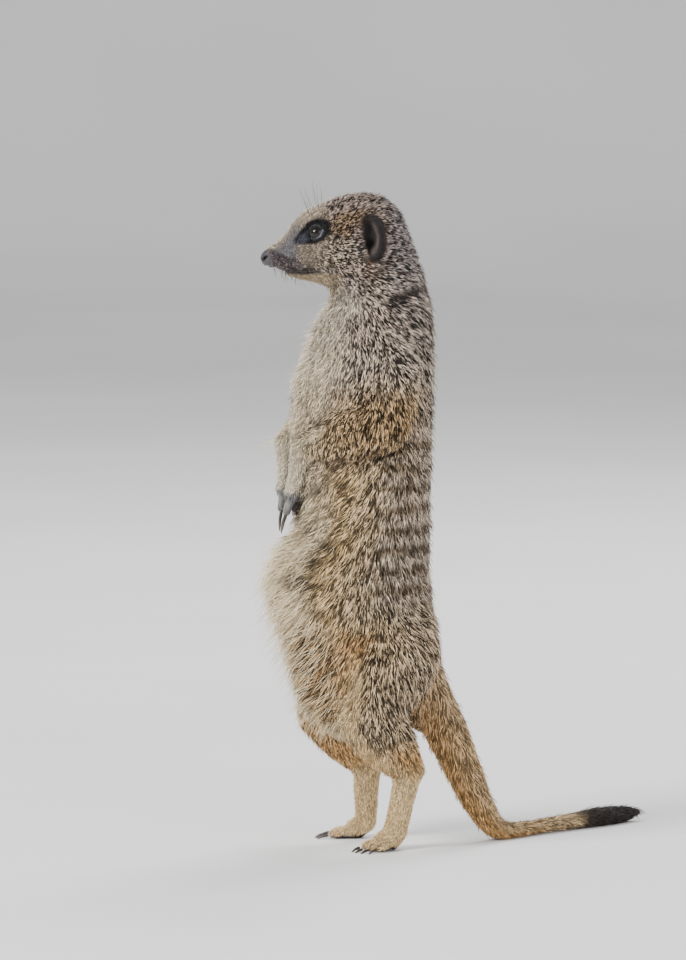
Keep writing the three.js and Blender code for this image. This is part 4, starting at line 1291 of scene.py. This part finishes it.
def eyeMaterial():
    finish = Finish("dark brown eye")
    around, flat, rays = (finish.channel("irisPlace", part) for part in ("Red", "Green", "Blue"))
    stretched = finish.node("ShaderNodeCombineXYZ", {}, {"X": rays * 30.0, "Y": around * 3.0})
    fibres = finish.noise(1.0, 3.0, 0.5, stretched)
    iris = finish.between(fibres, 0.35, 0.65)
    iris = finish.mixed(iris, (0.003, 0.002, 0.002, 1), (0.009, 0.005, 0.004, 1))
    ringed = finish.mixed(finish.between(around, 0.36, 0.44), iris, (0.006, 0.005, 0.006, 1))
    colour = finish.mixed(finish.between(flat, 0.19, 0.23), (0.002, 0.002, 0.002, 1), ringed)  # the pupil
    ripples = finish.noise(260.0, 1.0)
    return finish.done(Base_Color=colour, Roughness=finish.between(ripples, 0.3, 0.7, 0.05, 0.12),
                       Coat_Weight=0.35, Coat_Roughness=0.02, Coat_IOR=1.38, Specular_IOR_Level=0.25,
                       Normal=finish.bumped(ripples, 0.00003, 0.3))


def clawMaterial():
    finish = Finish("dark horn")
    along = finish.channel("clawPlace", "Red")
    grain = finish.node("ShaderNodeMapping", {}, {"Vector": finish.place(), "Scale": (3.0, 3.0, 0.35)})
    streaks = finish.noise(700.0, 4.0, 0.5, grain)
    horn = finish.mixed(finish.between(streaks, 0.3, 0.7), (0.012, 0.009, 0.008, 1), (0.055, 0.04, 0.032, 1))
    colour = finish.mixed(finish.between(along, 0.45, 1.0, 0.0, 0.6), horn, (0.16, 0.11, 0.075, 1))
    return finish.done(Base_Color=colour, Roughness=finish.between(streaks, 0.3, 0.7, 0.28, 0.46),
                       Normal=finish.bumped(streaks, 0.00008, 0.5), Specular_IOR_Level=0.5)


def whiskerMaterial():
    finish = Finish("whisker")
    tone = finish.noise(220.0, 2.0)
    colour = finish.mixed(finish.between(tone, 0.35, 0.65), (0.02, 0.015, 0.012, 1), (0.07, 0.05, 0.04, 1))
    return finish.done(Base_Color=colour, Roughness=finish.between(tone, 0.3, 0.7, 0.35, 0.5))


def skinAttributes():
    tones = np.ones((len(body.points), 4), np.float32)
    thick = smooth(0.8, 0.1, bare)[:, None]
    tones[:, :3] = marks.colour * (1 - 0.5 * thick)  # darker where the coat shades it
    colourLayer(skin.data, "skinColour", tones)
    tones[:, 0] = smooth(0.3, 0.9, bare) * (share("ear") < 0.5)
    tones[:, 1] = smooth(8, 5, (body.points[:, 1] - noseTip[1]) / mm)
    for name in sides:
        tones[:, 1] = np.maximum(tones[:, 1], nearEye(body.points, name, 8))
    tones[:, 2] = 0
    colourLayer(skin.data, "skinBare", tones)
    shadeSmooth(skin.data)


skinAttributes()
skin.data.materials.clear()
skin.data.materials.append(skinMaterial())
fur = coatMaterial()
for piece in coatObjects:
    piece.data.materials.append(fur)
print("skin and coat finished")


# Eyes, with a cornea that stands out a little from the ball

eye = {
    "size": 0.985,  # of the CAD ball
    "rings": 40, "spokes": 64,
    "cornea": 0.055, "corneaReach": 0.62,  # how far it stands out and how far round, for the ball's radius
    "pupilWide": 1.35,
}


# Each step round a ring, with the one after it
def nextTo(count):
    return [(i, (i + 1) % count) for i in range(count)]


def eyeBall(side):
    gaze, along, rise = eyeAxes(side)
    gaze = unit(gaze + np.array([0, -0.12, -0.02]))
    along = unit(along - gaze * along.dot(gaze))
    rise = np.cross(gaze, along)
    turn = np.linspace(0, math.pi, eye["rings"] + 1)[1:-1]
    spin = np.arange(eye["spokes"]) * 2 * math.pi / eye["spokes"]
    swell = 1 + eye["cornea"] * smooth(eye["corneaReach"], 0, turn / 1.2)
    circle = np.cos(spin)[:, None] * along + np.sin(spin)[:, None] * rise
    rings = np.cos(turn)[:, None, None] * gaze + np.sin(turn)[:, None, None] * circle[None]
    rings = rings * swell[:, None, None]
    points = np.concatenate([[gaze * (1 + eye["cornea"])], rings.reshape(-1, 3), [-gaze]])
    form = bmesh.new()
    verts = [form.verts.new(eyeCentre[side] + point * eyeRadius * eye["size"]) for point in points]
    rows = [verts[first:first + len(spin)] for first in range(1, len(verts) - 1, len(spin))]
    for inner, outer in zip(rows[:-1], rows[1:]):
        for i, j in nextTo(len(spin)):
            form.faces.new([inner[i], inner[j], outer[j], outer[i]])
    for i, j in nextTo(len(spin)):
        form.faces.new([verts[0], rows[0][j], rows[0][i]])
        form.faces.new([verts[-1], rows[-1][i], rows[-1][j]])
    bmesh.ops.recalc_face_normals(form, faces=form.faces)
    mesh = bpy.data.meshes.new("eyeball_" + side)
    form.to_mesh(mesh)
    place = np.ones((len(points), 4), np.float32)
    ray = unit(points)
    place[:, 0] = np.arccos(np.clip(ray @ gaze, -1, 1)) / math.pi * 1.15
    place[:, 1] = np.hypot(ray @ along / eye["pupilWide"], ray @ rise) * (ray @ gaze > 0) + (ray @ gaze <= 0)
    place[:, 2] = np.abs(np.arctan2(ray @ rise, ray @ along)) / math.pi
    colourLayer(mesh, "irisPlace", place)
    shadeSmooth(mesh)
    mesh.materials.append(eyeFinish)
    return placed(mesh.name, mesh)


eyeFinish = eyeMaterial()
eyes = {side: eyeBall(side) for side in sides}


# Claws: the CAD forms rounded off

def clawSet(limb, side):
    names = [f"{limb}_claw_{side}_{number}" for number in range(1, 5)]
    mesh, parts = joinedNodes(f"claws_{limb}_{side}", names)
    height = [part[:, 2 if limb == "hand" else 1] for part in parts]
    place = np.ones((len(mesh.vertices), 4), np.float32)
    place[:, 0] = np.concatenate([(values.max() - values) / np.ptp(values) for values in height])
    colourLayer(mesh, "clawPlace", place)
    mesh.materials.append(clawFinish)
    piece = placed(mesh.name, mesh)
    withModifier(piece, "SUBSURF", levels=2, render_levels=2)
    shadeSmooth(piece.data)
    return piece, names


clawFinish = clawMaterial()
claws = [clawSet(limb, side) for limb in ("hand", "foot") for side in sides]
print("eyes and claws made")


# Whiskers and brow hairs: curved lines, turned into tapered hairs by a node tree

whiskers = {
    "thickness": 0.11, "corners": 5, "points": 9, "seed": 4,
    "padRows": 4,
    # for each row: how many hairs, where the first grows in mm from the nose's tip on the left side and
    # the step to the next, its heading and the change to the next, the length in mm of the first and
    # the last, the shortest share of it, and how far they droop
    "pad": (5, (4, 6.5, -1.0), (0.35, 2.3, 0), (1, 0.15, 0.1), (0, 0.22, 0), (9, 16), 0.8, 0.25),
    "brow": (5, (-3.5, -3.5, 7.0), (0, 1.7, 0), (0.35, -0.55, 1.0), (0, 0.12, 0), (15, 15), 0.7, -0.12),
    "cheek": (3, (17, 33, -2.0), (0, 2.0, 0), (1, 0.5, -0.35), (0, 0, 0), (12, 12), 0.8, 0.2),
    "chin": (5, (1.5, 9, -9), (0.5, 2.2, 0), (0.35, -0.1, -1), (0, 0, 0), (7, 7), 0.7, -0.15),
}


def whiskerLines():
    pick = np.random.default_rng(whiskers["seed"])
    tree = BVHTree.FromPolygons(body.points.tolist(), body.triangles.tolist())
    t = np.linspace(0, 1, whiskers["points"])[:, None]
    lines = []

    # offset is in mm, and lean changes the heading
    def growRow(name, sign, offset, lean=0.0):
        count, start, step, heading, swing, long, least, droop = whiskers[name]
        for number in range(count):
            spot = (np.array(start) + offset + np.multiply(step, number)) * [sign, 1, 1]
            length = np.interp(number, [0, count - 1], long) * pick.uniform(least, 1.1) * mm
            way = (np.array(heading) + np.multiply(swing, number) + [0, 0, lean]) * [sign, 1, 1]
            way = unit(way + pick.normal(0, 0.09, 3))
            root, normal = tree.find_nearest(spot * mm + noseTip)[:2]
            root = np.array(root) - np.array(normal) * 0.4 * mm
            lines.append(root + way * length * t + np.array([0, 0.25, -1]) * droop * length * t ** 2)

    for sign in sides.values():
        for row in range(whiskers["padRows"]):
            growRow("pad", sign, np.array([0, 0, -1.15]) * row, -0.22 * row)
        growRow("brow", sign, (eyeCentre["left"] - noseTip) / mm)
        growRow("cheek", sign, np.zeros(3))
        growRow("chin", sign, np.zeros(3))
    return lines


def hairTree(material):
    tree = bpy.data.node_groups.new("tapered hairs", "GeometryNodeTree")
    for name, way, kind in (("Lines", "INPUT", "Geometry"), ("Thickness", "INPUT", "Float"),
                            ("Corners", "INPUT", "Int"), ("Hairs", "OUTPUT", "Geometry")):
        tree.interface.new_socket(name, in_out=way, socket_type="NodeSocket" + kind)
    node = Nodes(tree).node
    lines = node("NodeGroupInput", {}, {}, "Lines")
    given = lines.socket.node.outputs
    thickness, corners = (Wire(lines.nodes, given[name]) for name in ("Thickness", "Corners"))
    curves = node("GeometryNodeMeshToCurve", {}, {"Mesh": lines}, "Curve")
    left = 1.04 - node("GeometryNodeSplineParameter", {}, {}, "Factor")
    radius = left.worked("POWER", left, 0.6) * thickness
    sized = node("GeometryNodeSetCurveRadius", {}, {"Curve": curves, "Radius": radius}, "Curve")
    section = node("GeometryNodeCurvePrimitiveCircle", {}, {"Resolution": corners, "Radius": 1.0}, "Curve")
    tubes = node("GeometryNodeCurveToMesh", {}, {"Curve": sized, "Profile Curve": section,
                                                 "Fill Caps": True, "Scale": radius}, "Mesh")
    whole = node("GeometryNodeRealizeInstances", {}, {"Geometry": tubes}, "Geometry")
    finished = node("GeometryNodeSetMaterial", {}, {"Geometry": whole, "Material": material}, "Geometry")
    node("NodeGroupOutput", {}, {"Hairs": finished})
    return tree


def whiskerPiece():
    lines = whiskerLines()
    count = whiskers["points"]
    mesh = bpy.data.meshes.new("whiskers")
    starts = np.setdiff1d(np.arange(len(lines) * count), np.arange(1, len(lines) + 1) * count - 1)
    edges = np.stack([starts, starts + 1], axis=1).tolist()
    mesh.from_pydata(np.concatenate(lines).tolist(), edges, [])
    piece = placed("whiskers", mesh)
    modifier = piece.modifiers.new("hairs", "NODES")
    modifier.node_group = hairTree(whiskerMaterial())
    sizes = {"Thickness": whiskers["thickness"] * mm, "Corners": whiskers["corners"]}
    for item in modifier.node_group.interface.items_tree:
        if item.name in sizes:
            modifier[item.identifier] = sizes[item.name]
    applied(piece)
    shadeSmooth(piece.data)
    return piece


hairs = whiskerPiece()
print("whiskers made")


# Pieces ride on the one body and stand for their CAD nodes

skin.name = "skin"
rides = {skin: ("fur", fleshNodes), hairs: ("dark_fur", [])}
rides |= {piece: ("fur", []) for piece in coatObjects}
rides |= {piece: ("eye", ["eye_" + side]) for side, piece in eyes.items()}
rides |= {piece: ("claw", names) for piece, names in claws}
for piece, (slot, replaced) in rides.items():
    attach(piece, "root")
    if replaced:
        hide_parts(*replaced)


# Camera, floor and studio light

camera = {
    "azimuth": 90, "elevation": 5, "distance": 4.0, "lens": 300,
    # what it looks at: mm behind the nose, and the share of the height below the crown
    "behindNose": 41.5, "belowCrown": 0.4408,
}
studio = {
    # power, size and place of each lamp
    "key": (104, 1.1, (1.5, -1.9, 1.75)), "fill": (40, 2.0, (2.2, 1.6, 0.9)),
    "rim": (34, 1.0, (-1.5, 0.6, 1.6)), "world": 0.66,
    # the round floor: how far it is flat, the bend at its edge and the height of its rim, in metres
    "flat": 4.3, "bend": 0.8, "height": 1.7, "bendSteps": 10, "spokes": 72,
}


def aimed(piece, position, target):
    piece.location = Vector(position)
    piece.rotation_euler = (Vector(target) - Vector(position)).to_track_quat("-Z", "Y").to_euler()


def setCamera():
    lens = bpy.data.cameras.new("camera")
    lens.lens = camera["lens"]
    lens.sensor_width = 36
    piece = placed("camera", lens)
    azimuth, elevation = math.radians(camera["azimuth"]), math.radians(camera["elevation"])
    height = high[2] * (1 - camera["belowCrown"])
    target = np.array([nosePad[0], noseTip[1] + camera["behindNose"] * mm, height])
    level = np.array([math.sin(azimuth), -math.cos(azimuth), 0]) * math.cos(elevation)
    way = level + up * math.sin(elevation)
    aimed(piece, target + way * camera["distance"], target)
    bpy.context.scene.camera = piece


def softLight(name, power, size, position):
    light = bpy.data.lights.new(name, "AREA")
    light.energy = power
    light.size = size
    aimed(placed(name, light), position, (nosePad[0], noseTip[1] + 0.04, 0.18))


def floorMaterial():
    finish = Finish("pale floor")
    tone = finish.between(finish.noise(3.0, 2.0), 0.3, 0.7)
    return finish.done(Base_Color=finish.mixed(tone, grey(0.84), grey(0.88)), Roughness=0.8)


# A round floor that curves up into a backdrop on every side, further out than the camera
def setFloor():
    form = bmesh.new()
    flat, bend = studio["flat"], studio["bend"]
    angles = np.linspace(0, math.pi / 2, studio["bendSteps"] + 1)
    outline = [(flat + bend * math.sin(angle), bend - bend * math.cos(angle)) for angle in angles]
    outline.append((flat + bend, studio["height"]))
    spins = np.arange(studio["spokes"]) * 2 * math.pi / studio["spokes"]
    ring = [(math.cos(spin), math.sin(spin)) for spin in spins]
    rows = [[form.verts.new((r * x, r * y, z)) for x, y in ring] for r, z in outline]
    form.faces.new(rows[0])
    for inner, outer in zip(rows[:-1], rows[1:]):
        for i, j in nextTo(len(spins)):
            form.faces.new([inner[i], outer[i], outer[j], inner[j]]).smooth = True
    mesh = bpy.data.meshes.new("floor")
    form.to_mesh(mesh)
    mesh.materials.append(floorMaterial())
    placed("floor", mesh)


def setStudio():
    setFloor()
    for name in ("key", "fill", "rim"):
        softLight(name, *studio[name])
    world = bpy.data.worlds.new("studio")
    world.use_nodes = True
    sky = world.node_tree.nodes["Background"].inputs
    sky["Color"].default_value = grey(0.9)
    sky["Strength"].default_value = studio["world"]
    bpy.context.scene.world = world


setCamera()
setStudio()
print("camera and studio set")
